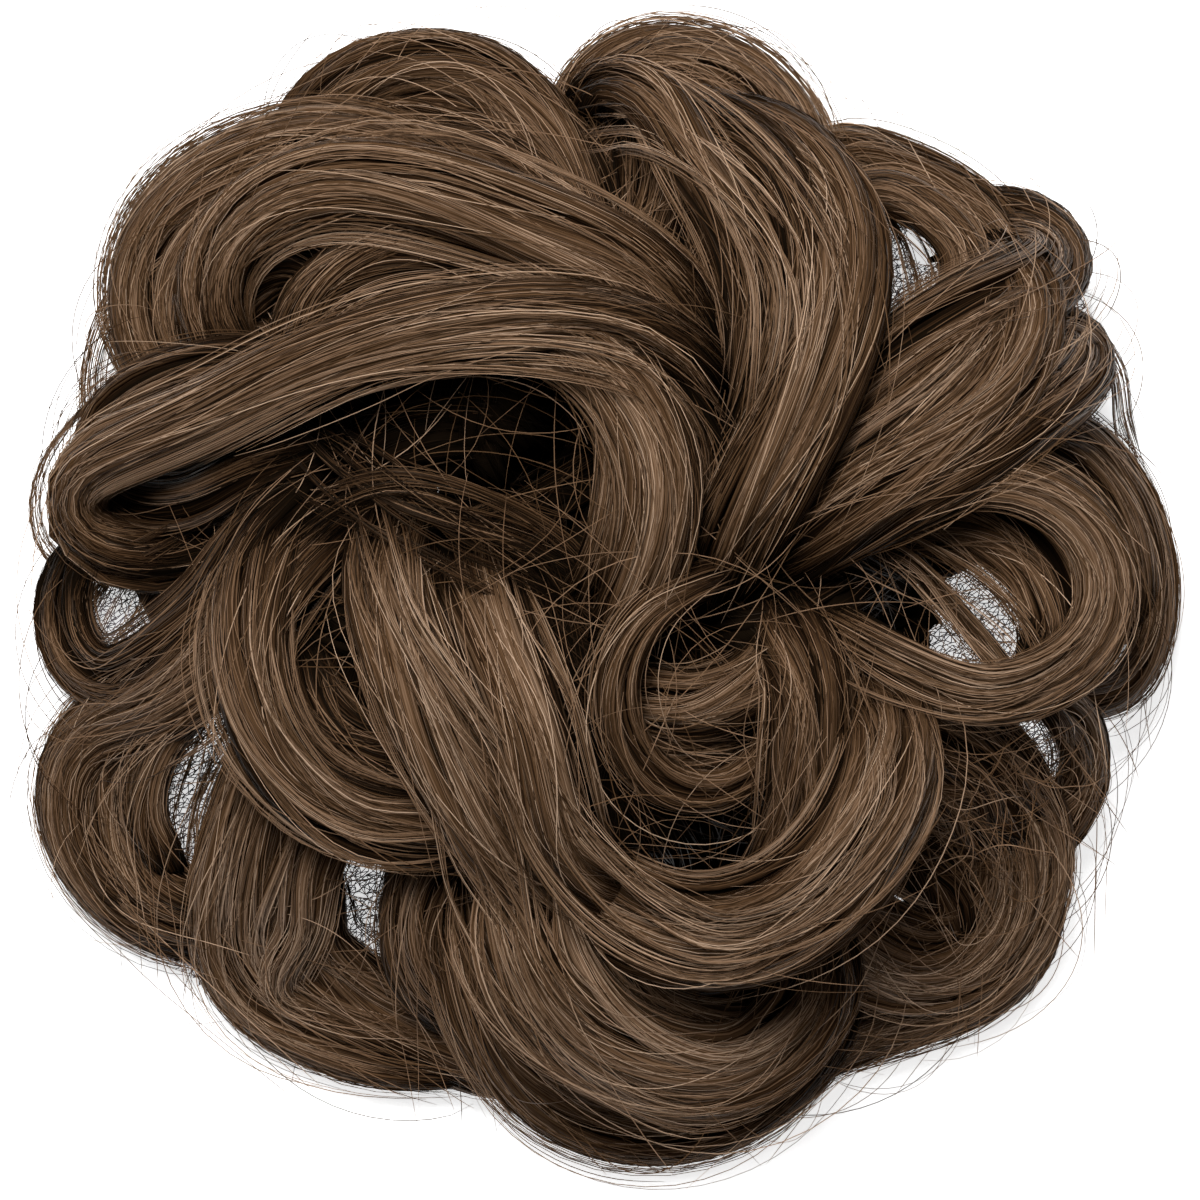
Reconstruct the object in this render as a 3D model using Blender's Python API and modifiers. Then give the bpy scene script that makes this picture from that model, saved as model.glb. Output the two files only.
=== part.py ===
"""A top knot hairpiece: curled locks of synthetic hair looped out of a weft ring, on a covered elastic.

It lies flat side down, as it is laid on a table. The origin is on the resting face, in the middle of the
outline. X runs to the right and Y to the top of the hairpiece seen from above, and Z points up.
"""

from collections import namedtuple
from math import cos, pi, radians, sin

import bmesh
import bpy
from mathutils import Vector

MM = 0.001  # the tables below are in millimetres

# The weft ring: a low dome of sewn hair with an off-centre hollow for the ponytail.
RING_CENTRE = (-2.0, 2.0)
RING_RADIUS = 44.0
RING_HEIGHT = 34.0
RING_SEGMENTS = 40
HOLLOW_CENTRE = (-14.0, 18.0)
HOLLOW_RADIUS = 12.2
HOLLOW_MOUTH_RADIUS = 14.6
HOLLOW_FLARE_START = 24.0
HOLLOW_SEGMENTS = 28

# The dome's outer face from the top down, as shares of the ring's radius and height.
Shoulder = namedtuple("Shoulder", "radius_share height_share")
RING_SHOULDERS = (
    Shoulder(0.62, 1.0),
    Shoulder(0.86, 0.84),
    Shoulder(0.97, 0.56),
    Shoulder(1.0, 0.26),
    Shoulder(0.93, 0.0),
)

# The covered elastic, nested in a step at the foot of the hollow.
ELASTIC_RADIUS = 2.4
ELASTIC_RING_RADIUS = 14.6
ELASTIC_HEIGHT = 4.4
ELASTIC_SEGMENTS = 36
ELASTIC_SIDES = 10
CLEARANCE = 0.3

# A lock's cross-section is a flattened ellipse, slimmer towards both ends.
LOCK_FLATNESS = 0.66
LOCK_END_TAPER = 0.6
LOCK_SIDES = 6
STEPS_PER_STATION = 2

FLOOR_BLOCK = 260.0  # the block that cuts the locks off flat where they rest
WELD_DISTANCE = 1e-6
SHARP_ANGLE = pi / 4

SYNTHETIC_HAIR = {"colour": (0.15, 0.085, 0.048, 1.0), "roughness": 0.42, "metallic": 0.0}
ELASTIC_COVER = {"colour": (0.012, 0.010, 0.009, 1.0), "roughness": 0.8, "metallic": 0.0}

Lock = namedtuple("Lock", "name width route")

# One row for each main lock: its width, and the stations that its centre line runs through.
LEFT_LOCKS = (
    Lock("left_outer_arch", 13.0, (
        (-44, 22, 13), (-60, 30, 10), (-65.5, 41, 9), (-62.5, 52, 10), (-54, 59, 12), (-42, 63, 15),
        (-27, 60, 20), (-14, 46, 24))),
    Lock("top_left_loop", 11.0, (
        (-46, 58, 10), (-40.5, 69, 9), (-30, 75, 9), (-17, 73.5, 12), (-8, 65, 17), (-3, 53, 23),
        (0, 40, 26))),
    Lock("top_left_fill", 10.0, (
        (-44, 57, 16), (-34, 65, 13), (-24, 64.5, 15), (-13, 60.5, 20), (-3, 50, 25), (3, 38, 28))),
    Lock("left_bright_arch", 12.5, (
        (-47, 25, 24), (-56, 37, 24), (-55, 48, 26), (-48, 55, 30), (-37, 58, 34), (-24, 56, 38),
        (-10, 51.5, 41), (2, 47, 42), (11, 40, 39), (16, 30, 32))),
    Lock("left_inner_arch", 8.5, (
        (-46, 30, 28), (-42, 41, 31), (-33, 47, 34), (-21, 48.5, 35), (-8, 45, 35), (2, 38, 33))),
    Lock("left_under_fan", 15.0, (
        (-44, 24, 18), (-54, 38, 17), (-51, 46, 20), (-42, 50, 22), (-28, 43, 26))),
    Lock("left_long_sweep", 11.0, (
        (-73, 12, 14), (-66, 17, 24), (-56, 24, 34), (-44, 31.5, 41), (-30, 36.5, 46), (-15, 39, 48),
        (0, 39, 47), (11, 34.5, 43), (18, 24, 33))),
    Lock("left_top_sweep", 8.0, (
        (-76, 12, 10), (-76, 21, 12), (-70, 27.5, 17), (-61, 32, 24), (-50, 34, 30), (-36, 31, 32))),
    Lock("left_lower_sweep", 9.0, (
        (-75, 14, 10), (-74, 10, 15), (-68, 9, 21), (-59, 12, 28), (-49, 18, 33), (-36, 22, 33))),
    Lock("left_curl", 9.5, (
        (-72, 9, 12), (-77, 1, 9), (-76, -8, 10), (-70, -12.5, 16), (-62, -8.5, 24), (-54, -1, 30),
        (-48, 9, 33), (-38, 17, 31))),
    Lock("left_fan", 13.0, (
        (-32, 15, 30), (-45, 3, 33), (-53, -8, 31), (-61, -15, 24), (-67, -19.5, 16), (-72, -21, 11))),
    Lock("left_low_loop", 11.5, (
        (-50, -8, 25), (-66, -16, 15), (-71, -26, 8), (-69, -36, 7), (-63, -43, 9), (-50, -46, 15))),
    Lock("left_low_inner", 6.5, (
        (-50, -8, 27), (-62, -20, 21), (-65, -31, 15), (-61, -40, 12))),
)

LOWER_LEFT_LOCKS = (
    Lock("lower_left_lock", 12.0, (
        (-36, -8, 26), (-46.5, -23, 25), (-50.5, -34, 22), (-53.5, -44, 16), (-53.5, -53, 10))),
    Lock("lower_left_hook", 8.0, (
        (-34, -24, 26), (-41.5, -38, 24), (-43, -47, 18), (-49, -52, 12), (-54, -56, 8))),
    Lock("lower_left_rim", 11.5, (
        (-41, -38, 20), (-42, -49, 12), (-35, -57, 8), (-25, -62, 7), (-14, -66, 9), (-6, -62, 16))),
    Lock("lower_left_strip", 8.0, (
        (-22, -28, 27), (-27, -43, 25), (-26, -54, 19), (-20, -61, 12))),
    Lock("lower_left_bowl", 10.5, (
        (-36, 8, 31), (-49, -7, 36), (-48, -19, 37), (-42, -27.5, 37), (-32, -32, 37), (-21, -33, 35),
        (-8, -28, 30))),
    Lock("lower_left_bowl_inner", 10.5, (
        (-36, -4, 29), (-42, -14, 31), (-36, -21, 32), (-26, -24, 32), (-14, -22, 29))),
)

CENTRE_LOCKS = (
    Lock("centre_lock_left", 11.0, (
        (-31, 12, 30), (-31, 3, 41), (-28.5, -8, 47), (-25, -18, 47), (-20, -28, 43), (-14, -36, 33))),
    Lock("centre_lock_right", 13.0, (
        (-17, 1, 31), (-16.5, -5, 41), (-14, -12, 46), (-11, -20, 47), (-9, -29, 43), (-9, -38, 33))),
    Lock("hollow_rim_inner", 5.0, (
        (-33, 28, 31), (-20, 34.5, 39), (-8.5, 33.5, 42), (0, 26, 43), (1, 16, 42), (-1, 6, 38),
        (-6, -3, 31))),
    Lock("hollow_rim_middle", 10.0, (
        (-27, 37, 33), (-12, 37.5, 44), (0, 32, 48), (7, 21, 49), (8, 11, 48), (5, 0, 43), (0, -10, 32))),
    Lock("hollow_rim_outer", 8.5, (
        (-4, 34, 39), (5, 30, 41), (12, 21, 41), (13.5, 11, 38), (9, 0, 31))),
    Lock("small_curl", 7.5, (
        (20, 4, 32), (13, 2, 44), (5.5, -2.5, 47), (1.5, -11, 46), (2.5, -20, 42), (8, -26.5, 38),
        (17, -27.5, 36), (24, -20, 34), (25, -10, 30))),
    Lock("small_curl_bowl", 9.0, (
        (1, -12, 32), (5, -14, 37), (13, -15.5, 39), (21, -12, 38), (25, -5, 32))),
    Lock("small_curl_foot", 9.5, (
        (0, -18, 30), (10, -22, 34), (21, -19, 30))),
)

TOP_LOCKS = (
    Lock("top_loop", 12.0, (
        (-4, 58, 15), (-2.5, 69, 9), (4.5, 75.5, 8), (14, 75, 9), (21.5, 70, 12), (26, 62, 16), (26, 50, 20),
        (22, 36, 24))),
    Lock("top_under_lock", 13.0, (
        (2, 36, 27), (6, 47, 23), (9, 57, 18), (11, 66, 13))),
    Lock("top_narrow_lock", 8.0, (
        (-4, 68, 13), (0, 72.5, 20), (7, 70, 28), (12.5, 62, 34), (18, 53, 39), (21, 43, 40),
        (21, 32, 37), (18, 20, 31))),
    Lock("top_right_lock", 11.5, (
        (8, 68, 22), (18, 64.5, 30), (24, 57, 37), (27, 48, 42), (26.5, 37, 43), (23.5, 26, 40),
        (18, 13, 32))),
    Lock("right_main_lock", 12.5, (
        (12, 68, 20), (23, 65, 28), (30.5, 58, 35), (34, 49, 41), (33.5, 39, 46), (30, 29, 48),
        (25, 19, 48), (19, 9, 43), (13, -2, 31))),
)

RIGHT_LOCKS = (
    Lock("right_upper_fan", 13.0, (
        (22, 14, 33), (34, 25.5, 40), (43, 33, 40), (52, 38.5, 36), (59, 42, 28))),
    Lock("right_sweep_upper", 12.0, (
        (20, 2, 31), (33, 12, 41), (43, 18.5, 43), (52, 25.5, 42), (57.5, 33.5, 37), (59, 43, 29),
        (54, 50, 20))),
    Lock("right_sweep_lower", 10.0, (
        (24, 4, 31), (40, 13, 40), (51, 18.5, 41), (59.5, 25, 36), (65.5, 30.5, 26), (66, 26, 19))),
    Lock("top_right_rim", 11.0, (
        (22, 50, 18), (32, 61, 13), (42, 59, 10), (51.5, 53.5, 11), (58, 45, 14), (60, 35, 20))),
    Lock("top_right_inner", 6.5, (
        (27, 50, 23), (38, 57, 23), (47, 53, 25), (51, 45, 27), (45, 31, 32))),
    Lock("right_ring", 8.5, (
        (26, 6, 31), (42, 14, 37), (54, 17, 38), (65, 13, 36), (71, 4, 33), (69.5, -6.5, 33),
        (61, -13, 35), (50, -14.5, 37), (39, -9, 37), (26, 0, 30))),
    Lock("right_ring_inner", 8.0, (
        (34, 9, 26), (50, 10, 26), (60, 2, 25), (63, -8, 28), (60, -14, 33))),
    Lock("far_right_loop", 5.5, (
        (59, 25, 33), (69, 22, 20), (76, 13, 11), (79, 2, 8), (77.5, -8, 10), (71.5, -14.5, 17),
        (60, -15, 31))),
    Lock("right_mid_lock", 12.0, (
        (23, 0, 31), (28.5, -11, 41), (28.5, -22, 40), (27, -32, 36), (22, -42, 29))),
    Lock("right_low_bed", 17.0, (
        (30, -12, 27), (43, -21, 28), (53, -26, 23), (60, -34, 16))),
    Lock("right_low_lock", 10.0, (
        (58, -13, 31), (65, -20, 19), (64.5, -30, 12), (61, -40, 11))),
)

BOTTOM_LOCKS = (
    Lock("lower_right_lock", 15.5, (
        (1, -36, 30), (12, -47, 39), (23, -45.5, 44), (32, -39, 46), (38, -29, 45), (40.5, -18, 38),
        (34, -8, 30))),
    Lock("bottom_main_lock", 14.5, (
        (-10, -32, 29), (-10.5, -48, 33), (-7, -57, 31), (0, -63.5, 27), (9, -67.5, 23), (19, -67.5, 20),
        (26.5, -62, 20), (31, -53, 24), (26, -42, 29))),
    Lock("bottom_rim_lock", 11.5, (
        (-16, -30, 28), (-19, -48, 25), (-17, -59, 20), (-11.5, -67.5, 13), (-3, -74, 8), (8, -76, 7),
        (18.5, -73.5, 7), (27, -67, 11))),
    Lock("bottom_inner_lock", 9.0, (
        (-4, -36, 27), (1, -52, 26), (7, -59, 22), (17, -61, 20), (27, -57, 21))),
    Lock("lower_right_lobe", 15.0, (
        (56, -24, 21), (59.5, -38, 13), (55, -48.5, 11), (46, -53, 13), (36, -49, 20), (25, -38, 27))),
    Lock("lower_right_fill", 11.0, (
        (34, -24, 25), (44, -35, 19), (49, -43, 14), (50, -52, 11))),
    Lock("lower_right_rim", 9.0, (
        (62, -38, 10), (59.5, -51, 6), (52, -58, 5), (42, -61, 6), (32, -64.5, 8), (23, -70, 10))),
)

# The loops nearest the table are petals round the weft ring: where each points, in degrees anticlockwise
# from +X, how far its crest reaches from the ring's centre, and half the angle that it spans.
Petal = namedtuple("Petal", "name angle reach half_span")
LOW_PETALS = (
    Petal("low_petal_right", 19, 60, 15),
    Petal("low_petal_top", 76, 60, 17),
    Petal("low_petal_top_left", 124, 62, 16),
    Petal("low_petal_left", 177, 60, 15),
    Petal("low_petal_bottom", 264, 60, 17),
    Petal("low_petal_lower_right", 313, 58, 18),
)
LOW_PETAL_WIDTH = 12.0
LOW_PETAL_HEIGHT = 6.0
LOW_PETAL_ROOT = 40.0
LOW_PETAL_STEPS = 3  # stations on each side of the crest
LOW_PETAL_BELLY = 0.3  # how much a petal widens towards its crest
LOW_PETAL_SQUARENESS = 2.5  # a higher power keeps a petal wide for longer

TABLED_LOCKS = LEFT_LOCKS + LOWER_LEFT_LOCKS + CENTRE_LOCKS + TOP_LOCKS + RIGHT_LOCKS + BOTTOM_LOCKS


def clear_scene():
    for obj in list(bpy.data.objects):
        bpy.data.objects.remove(obj, do_unlink=True)


def new_collection(name):
    collection = bpy.data.collections.new(name)
    bpy.context.scene.collection.children.link(collection)
    return collection


def new_material(name, look):
    material = bpy.data.materials.new(name)
    material.use_nodes = True
    shader = material.node_tree.nodes["Principled BSDF"]
    shader.inputs["Base Color"].default_value = look["colour"]
    shader.inputs["Roughness"].default_value = look["roughness"]
    shader.inputs["Metallic"].default_value = look["metallic"]
    return material


def make_helper(obj):
    """Keeps a cutter or a guide out of the finished model."""
    obj.hide_render = True
    obj.display_type = "WIRE"


def new_profile(collection):
    """A closed outline one millimetre in half width, drawn along each lock."""
    curve = bpy.data.curves.new("lock_profile", "CURVE")
    curve.dimensions = "2D"
    curve.fill_mode = "NONE"
    spline = curve.splines.new("POLY")
    spline.points.add(LOCK_SIDES - 1)
    for index, point in enumerate(spline.points):
        angle = 2 * pi * index / LOCK_SIDES
        point.co = (MM * cos(angle), MM * LOCK_FLATNESS * sin(angle), 0, 1)
    spline.use_cyclic_u = True
    profile = bpy.data.objects.new("lock_profile", curve)
    collection.objects.link(profile)
    make_helper(profile)
    return profile


def mesh_from_curve(obj, collection):
    """Turns a curve object into a mesh object with its caps welded on."""
    bpy.context.view_layer.update()
    graph = bpy.context.evaluated_depsgraph_get()
    mesh = bpy.data.meshes.new_from_object(obj.evaluated_get(graph))
    shape = bmesh.new()
    shape.from_mesh(mesh)
    bmesh.ops.remove_doubles(shape, verts=shape.verts, dist=WELD_DISTANCE)
    bmesh.ops.recalc_face_normals(shape, faces=shape.faces)
    shape.to_mesh(mesh)
    shape.free()
    made = bpy.data.objects.new(obj.name + "_solid", mesh)
    made.matrix_world = obj.matrix_world.copy()
    collection.objects.link(made)
    bpy.data.objects.remove(obj, do_unlink=True)
    make_helper(made)
    return made


def petal_lock(petal):
    """A low loop that leaves the weft ring, bows out to its crest and comes back."""
    route = []
    for step in range(-LOW_PETAL_STEPS, LOW_PETAL_STEPS + 1):
        side = step / LOW_PETAL_STEPS
        belly = 1 + LOW_PETAL_BELLY * (1 - abs(side))
        angle = radians(petal.angle + petal.half_span * side * belly)
        reach = petal.reach + (LOW_PETAL_ROOT - petal.reach) * abs(side) ** LOW_PETAL_SQUARENESS
        x = RING_CENTRE[0] + reach * cos(angle)
        y = RING_CENTRE[1] + reach * sin(angle)
        route.append((x, y, LOW_PETAL_HEIGHT))
    return Lock(petal.name, LOW_PETAL_WIDTH, tuple(route))


def new_lock(lock, profile, collection):
    """A lock is its profile carried along a smooth curve through the lock's stations."""
    curve = bpy.data.curves.new(lock.name, "CURVE")
    curve.dimensions = "3D"
    curve.twist_mode = "Z_UP"
    curve.resolution_u = STEPS_PER_STATION
    curve.bevel_mode = "OBJECT"
    curve.bevel_object = profile
    curve.use_fill_caps = True
    spline = curve.splines.new("BEZIER")
    spline.bezier_points.add(len(lock.route) - 1)
    for point, station in zip(spline.bezier_points, lock.route):
        point.co = Vector(station) * MM
        point.handle_left_type = point.handle_right_type = "AUTO"
        point.radius = lock.width / 2
    for end in (spline.bezier_points[0], spline.bezier_points[-1]):
        end.radius *= LOCK_END_TAPER
    guide = bpy.data.objects.new(lock.name, curve)
    collection.objects.link(guide)
    return mesh_from_curve(guide, collection)


def new_turned(name, profile, centre, segments, collection):
    """A solid turned from (radius, height) points, from the axis at the top to the axis at the foot."""
    mesh = bpy.data.meshes.new(name)
    vertices = [(radius * MM, 0, height * MM) for radius, height in profile]
    edges = [(index, index + 1) for index in range(len(profile) - 1)]
    mesh.from_pydata(vertices, edges, [])
    turned = bpy.data.objects.new(name, mesh)
    turned.location = (centre[0] * MM, centre[1] * MM, 0)
    collection.objects.link(turned)
    screw = turned.modifiers.new("turn", "SCREW")
    screw.steps = screw.render_steps = segments
    screw.use_merge_vertices = True
    screw.merge_threshold = WELD_DISTANCE
    return turned


def new_ring_body(collection):
    """The low dome that the locks are sewn to, before its hollow is cut."""
    outer_face = [
        (RING_RADIUS * shoulder.radius_share, RING_HEIGHT * shoulder.height_share)
        for shoulder in RING_SHOULDERS
    ]
    profile = [(0, RING_HEIGHT)] + outer_face + [(0, 0)]
    return new_turned("weft_ring_body", profile, RING_CENTRE, RING_SEGMENTS, collection)


def new_hollow_cutter(collection):
    """The ponytail's hollow, wider at its mouth, with a step at its foot that the elastic lies in."""
    above = RING_HEIGHT * 2
    below = -RING_HEIGHT / 2
    step_radius = ELASTIC_RING_RADIUS + ELASTIC_RADIUS + CLEARANCE
    step_height = ELASTIC_HEIGHT + ELASTIC_RADIUS + CLEARANCE
    profile = (
        (0, above),
        (HOLLOW_MOUTH_RADIUS, above),
        (HOLLOW_MOUTH_RADIUS, RING_HEIGHT),
        (HOLLOW_RADIUS, HOLLOW_FLARE_START),
        (HOLLOW_RADIUS, step_height),
        (step_radius, step_height),
        (step_radius, below),
        (0, below),
    )
    cutter = new_turned("hollow_cutter", profile, HOLLOW_CENTRE, HOLLOW_SEGMENTS, collection)
    make_helper(cutter)
    return cutter


def new_floor_cutter(collection):
    mesh = bpy.data.meshes.new("floor_cutter")
    shape = bmesh.new()
    bmesh.ops.create_cube(shape, size=FLOOR_BLOCK * MM)
    bmesh.ops.translate(shape, verts=shape.verts, vec=(0, 0, -FLOOR_BLOCK * MM / 2))
    shape.to_mesh(mesh)
    shape.free()
    cutter = bpy.data.objects.new("floor_cutter", mesh)
    collection.objects.link(cutter)
    make_helper(cutter)
    return cutter


def add_boolean(obj, name, operation, other):
    boolean = obj.modifiers.new(name, "BOOLEAN")
    boolean.operation = operation
    boolean.solver = "EXACT"
    if isinstance(other, bpy.types.Collection):
        boolean.operand_type = "COLLECTION"
        boolean.collection = other
        boolean.use_self = True
    else:
        boolean.object = other


def outer_shell(shape):
    """Leaves only the biggest closed surface, which drops the sealed pockets between crossing locks."""
    unseen = set(shape.faces)
    islands = []
    while unseen:
        island = []
        waiting = [unseen.pop()]
        while waiting:
            face = waiting.pop()
            island.append(face)
            for edge in face.edges:
                for neighbour in edge.link_faces:
                    if neighbour in unseen:
                        unseen.remove(neighbour)
                        waiting.append(neighbour)
        islands.append(island)
    islands.sort(key=len)
    inner = [face for island in islands[:-1] for face in island]
    bmesh.ops.delete(shape, geom=inner, context="FACES")


def new_hair(parts, helpers):
    """All the locks and the weft ring as one body, open at the hollow and flat where it rests."""
    locks = new_collection("locks")
    profile = new_profile(helpers)
    for lock in TABLED_LOCKS + tuple(petal_lock(petal) for petal in LOW_PETALS):
        new_lock(lock, profile, locks)
    body = new_ring_body(helpers)
    add_boolean(body, "locks", "UNION", locks)
    add_boolean(body, "hollow", "DIFFERENCE", new_hollow_cutter(helpers))
    add_boolean(body, "floor", "DIFFERENCE", new_floor_cutter(helpers))
    bpy.context.view_layer.update()
    graph = bpy.context.evaluated_depsgraph_get()
    mesh = bpy.data.meshes.new_from_object(body.evaluated_get(graph))
    mesh.name = "hair"
    shape = bmesh.new()
    shape.from_mesh(mesh)
    bmesh.ops.triangulate(shape, faces=shape.faces)
    outer_shell(shape)
    shape.to_mesh(mesh)
    shape.free()
    mesh.shade_smooth()
    mesh.set_sharp_from_angle(angle=SHARP_ANGLE)
    mesh.materials.clear()
    mesh.materials.append(new_material("synthetic_hair", SYNTHETIC_HAIR))
    hair = bpy.data.objects.new("hair", mesh)
    hair.matrix_world = body.matrix_world.copy()
    parts.objects.link(hair)
    make_helper(body)
    return hair


def new_elastic_band(parts):
    bpy.ops.mesh.primitive_torus_add(
        location=(HOLLOW_CENTRE[0] * MM, HOLLOW_CENTRE[1] * MM, ELASTIC_HEIGHT * MM),
        major_radius=ELASTIC_RING_RADIUS * MM,
        minor_radius=ELASTIC_RADIUS * MM,
        major_segments=ELASTIC_SEGMENTS,
        minor_segments=ELASTIC_SIDES,
    )
    band = bpy.context.active_object
    band.name = band.data.name = "elastic_band"
    for collection in list(band.users_collection):
        collection.objects.unlink(band)
    parts.objects.link(band)
    band.data.shade_smooth()
    band.data.materials.append(new_material("elastic_cover", ELASTIC_COVER))
    return band


def main():
    clear_scene()
    parts = new_collection("top_knot_hairpiece")
    helpers = new_collection("cutters_and_guides")
    new_hair(parts, helpers)
    new_elastic_band(parts)


main()
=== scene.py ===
"""The looks of a top knot hairpiece, laid out as a Blender add-on.

Curled locks of brown synthetic hair are looped out of a weft ring, held by a fine net, and lie on a pale
floor. Every lock is grown as single strands round its own centre line, over a packed core.
"""

from collections import namedtuple
from math import atan, pi, radians

import bpy
import numpy as np
from bpy.props import FloatProperty, FloatVectorProperty, IntProperty, PointerProperty
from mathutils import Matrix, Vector


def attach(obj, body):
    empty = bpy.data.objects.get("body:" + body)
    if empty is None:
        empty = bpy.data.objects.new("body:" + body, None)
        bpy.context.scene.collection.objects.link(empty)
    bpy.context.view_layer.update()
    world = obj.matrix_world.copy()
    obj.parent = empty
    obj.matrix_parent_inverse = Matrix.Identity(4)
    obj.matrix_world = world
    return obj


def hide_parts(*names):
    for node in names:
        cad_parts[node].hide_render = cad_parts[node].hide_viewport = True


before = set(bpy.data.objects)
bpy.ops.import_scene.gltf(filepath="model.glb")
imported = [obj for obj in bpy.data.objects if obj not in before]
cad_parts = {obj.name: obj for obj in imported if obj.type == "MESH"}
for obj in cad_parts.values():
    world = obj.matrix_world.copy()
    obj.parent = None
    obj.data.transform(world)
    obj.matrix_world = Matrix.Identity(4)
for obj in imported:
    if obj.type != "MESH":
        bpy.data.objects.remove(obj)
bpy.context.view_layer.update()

bl_info = {
    "name": "Top knot hairpiece",
    "version": (1, 0, 0),
    "blender": (4, 5, 0),
    "location": "3D view > Sidebar > Hairpiece",
    "description": "Curled locks of synthetic hair on a covered elastic",
    "category": "Object",
}

MM = 0.001  # the tables below are in millimetres
ROOT = "root"
UP = np.array((0.0, 0.0, 1.0))

# The weft ring and its hollow, as in the solids.
RING_CENTRE = (-2.0, 2.0)
RING_RADIUS = 43.0
RING_HEIGHT = 33.0
HOLLOW_CENTRE = (-14.0, 18.0)
HOLLOW_RADIUS = 12.8
HOLLOW_MOUTH_RADIUS = 15.0
ELASTIC_RADIUS = 2.4
ELASTIC_RING_RADIUS = 14.6
ELASTIC_HEIGHT = 4.4

# One row for each lock: its width and depth, how light its strands are (0 is the middle shade), and the
# stations that its centre line runs through.
# A lock's lightness is partly its own tone, partly painted shade and light: deep or low locks are darker.
Lock = namedtuple("Lock", "name width depth tone route")

LEFT_LOCKS = (
    Lock("outer_arch", 14.0, 9.0, 0.05, (
        (-44, 22, 13), (-60, 30, 10), (-65.5, 41, 9), (-62.5, 52, 10), (-54, 59, 12), (-42, 63, 15),
        (-27, 60, 20), (-14, 46, 24))),
    Lock("top_left_loop", 12.0, 8.0, 0.0, (
        (-46, 58, 10), (-40.5, 69, 9), (-30, 75, 9), (-17, 73.5, 12), (-8, 65, 17), (-3, 53, 23),
        (0, 40, 26))),
    Lock("top_left_fill", 11.0, 7.0, -0.05, (
        (-44, 57, 16), (-34, 65, 13), (-24, 64.5, 15), (-13, 60.5, 20), (-3, 50, 25), (3, 38, 28))),
    Lock("bright_arch", 13.0, 7.5, 0.12, (
        (-47, 25, 24), (-56, 37, 24), (-55, 48, 26), (-48, 55, 30), (-37, 58, 34), (-24, 56, 38),
        (-10, 51.5, 41), (2, 47, 42), (11, 40, 39), (16, 30, 32))),
    Lock("inner_arch", 9.0, 6.0, 0.0, (
        (-46, 30, 28), (-42, 41, 31), (-33, 47, 34), (-21, 48.5, 35), (-8, 45, 35), (2, 38, 33))),
    Lock("under_fan", 16.0, 8.0, -0.08, (
        (-44, 24, 18), (-54, 38, 17), (-51, 46, 20), (-42, 50, 22), (-28, 43, 26))),
    Lock("long_sweep", 11.5, 7.0, 0.1, (
        (-52, 8, 22), (-62, 4.5, 15), (-71, 5, 12), (-76.5, 10.5, 12), (-75, 17.5, 16), (-66, 21.5, 24),
        (-56, 25.5, 33), (-44, 31.5, 41), (-30, 36.5, 46), (-15, 39, 48), (0, 39, 47), (11, 34.5, 43),
        (18, 24, 33))),
    Lock("side_loop", 8.5, 5.5, -0.08, (
        (-36, 31, 32), (-50, 33, 30), (-60, 31.5, 24), (-67, 28.5, 18), (-72, 23.5, 13), (-72, 17, 10),
        (-66, 13, 12), (-58, 13.5, 22), (-49, 18, 31), (-36, 22, 33))),
    Lock("side_curl", 9.5, 6.5, -0.14, (
        (-72, 9, 12), (-77, 1, 9), (-76, -8, 10), (-70, -12.5, 16), (-62, -8.5, 24), (-54, -1, 30),
        (-48, 9, 33), (-38, 17, 31))),
    Lock("side_fan", 14.0, 7.5, 0.0, (
        (-32, 15, 30), (-45, 3, 33), (-53, -8, 31), (-61, -15, 24), (-67, -18, 16), (-73, -21, 11),
        (-75.5, -29, 8), (-73, -37, 6), (-67, -44, 6), (-58, -48, 7), (-49, -49, 9))),
    Lock("low_loop", 12.0, 8.0, 0.04, (
        (-50, -8, 25), (-66, -16, 15), (-71, -26, 8), (-69, -36, 7), (-63, -43, 9), (-50, -46, 15))),
    Lock("low_inner", 6.5, 5.0, 0.0, (
        (-50, -8, 27), (-62, -20, 21), (-65, -31, 15), (-61, -40, 12))),
)

LOWER_LEFT_LOCKS = (
    Lock("falling_lock", 13.0, 8.0, 0.1, (
        (-36, -8, 26), (-46.5, -23, 25), (-50.5, -34, 22), (-53.5, -44, 16), (-53.5, -52, 10),
        (-49, -59, 7), (-40, -63, 6), (-29, -66, 6), (-17, -67, 7))),
    Lock("hook", 8.5, 6.0, 0.05, (
        (-34, -24, 26), (-41.5, -38, 24), (-43, -47, 18), (-47, -53, 12), (-46, -58, 8), (-39, -60, 7),
        (-29, -62, 7), (-18, -62, 9))),
    Lock("rim", 12.5, 8.0, 0.0, (
        (-41, -38, 20), (-42, -49, 12), (-35, -57, 8), (-25, -62, 7), (-14, -66, 9), (-6, -62, 16))),
    Lock("strip", 9.0, 6.0, -0.05, (
        (-22, -28, 27), (-27, -43, 25), (-26, -54, 19), (-20, -61, 12))),
    Lock("bowl", 11.5, 7.5, -0.04, (
        (-42, 17, 27), (-48, 6, 33), (-50.5, -6, 36), (-48.5, -18, 37), (-42, -27.5, 37),
        (-32, -32, 37), (-21, -33, 35), (-8, -28, 30))),
    Lock("bowl_inner", 10.5, 6.0, -0.16, (
        (-44, -6, 27), (-42, -14, 30), (-36, -21, 31), (-26, -24, 31), (-14, -22, 28))),
)

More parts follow.
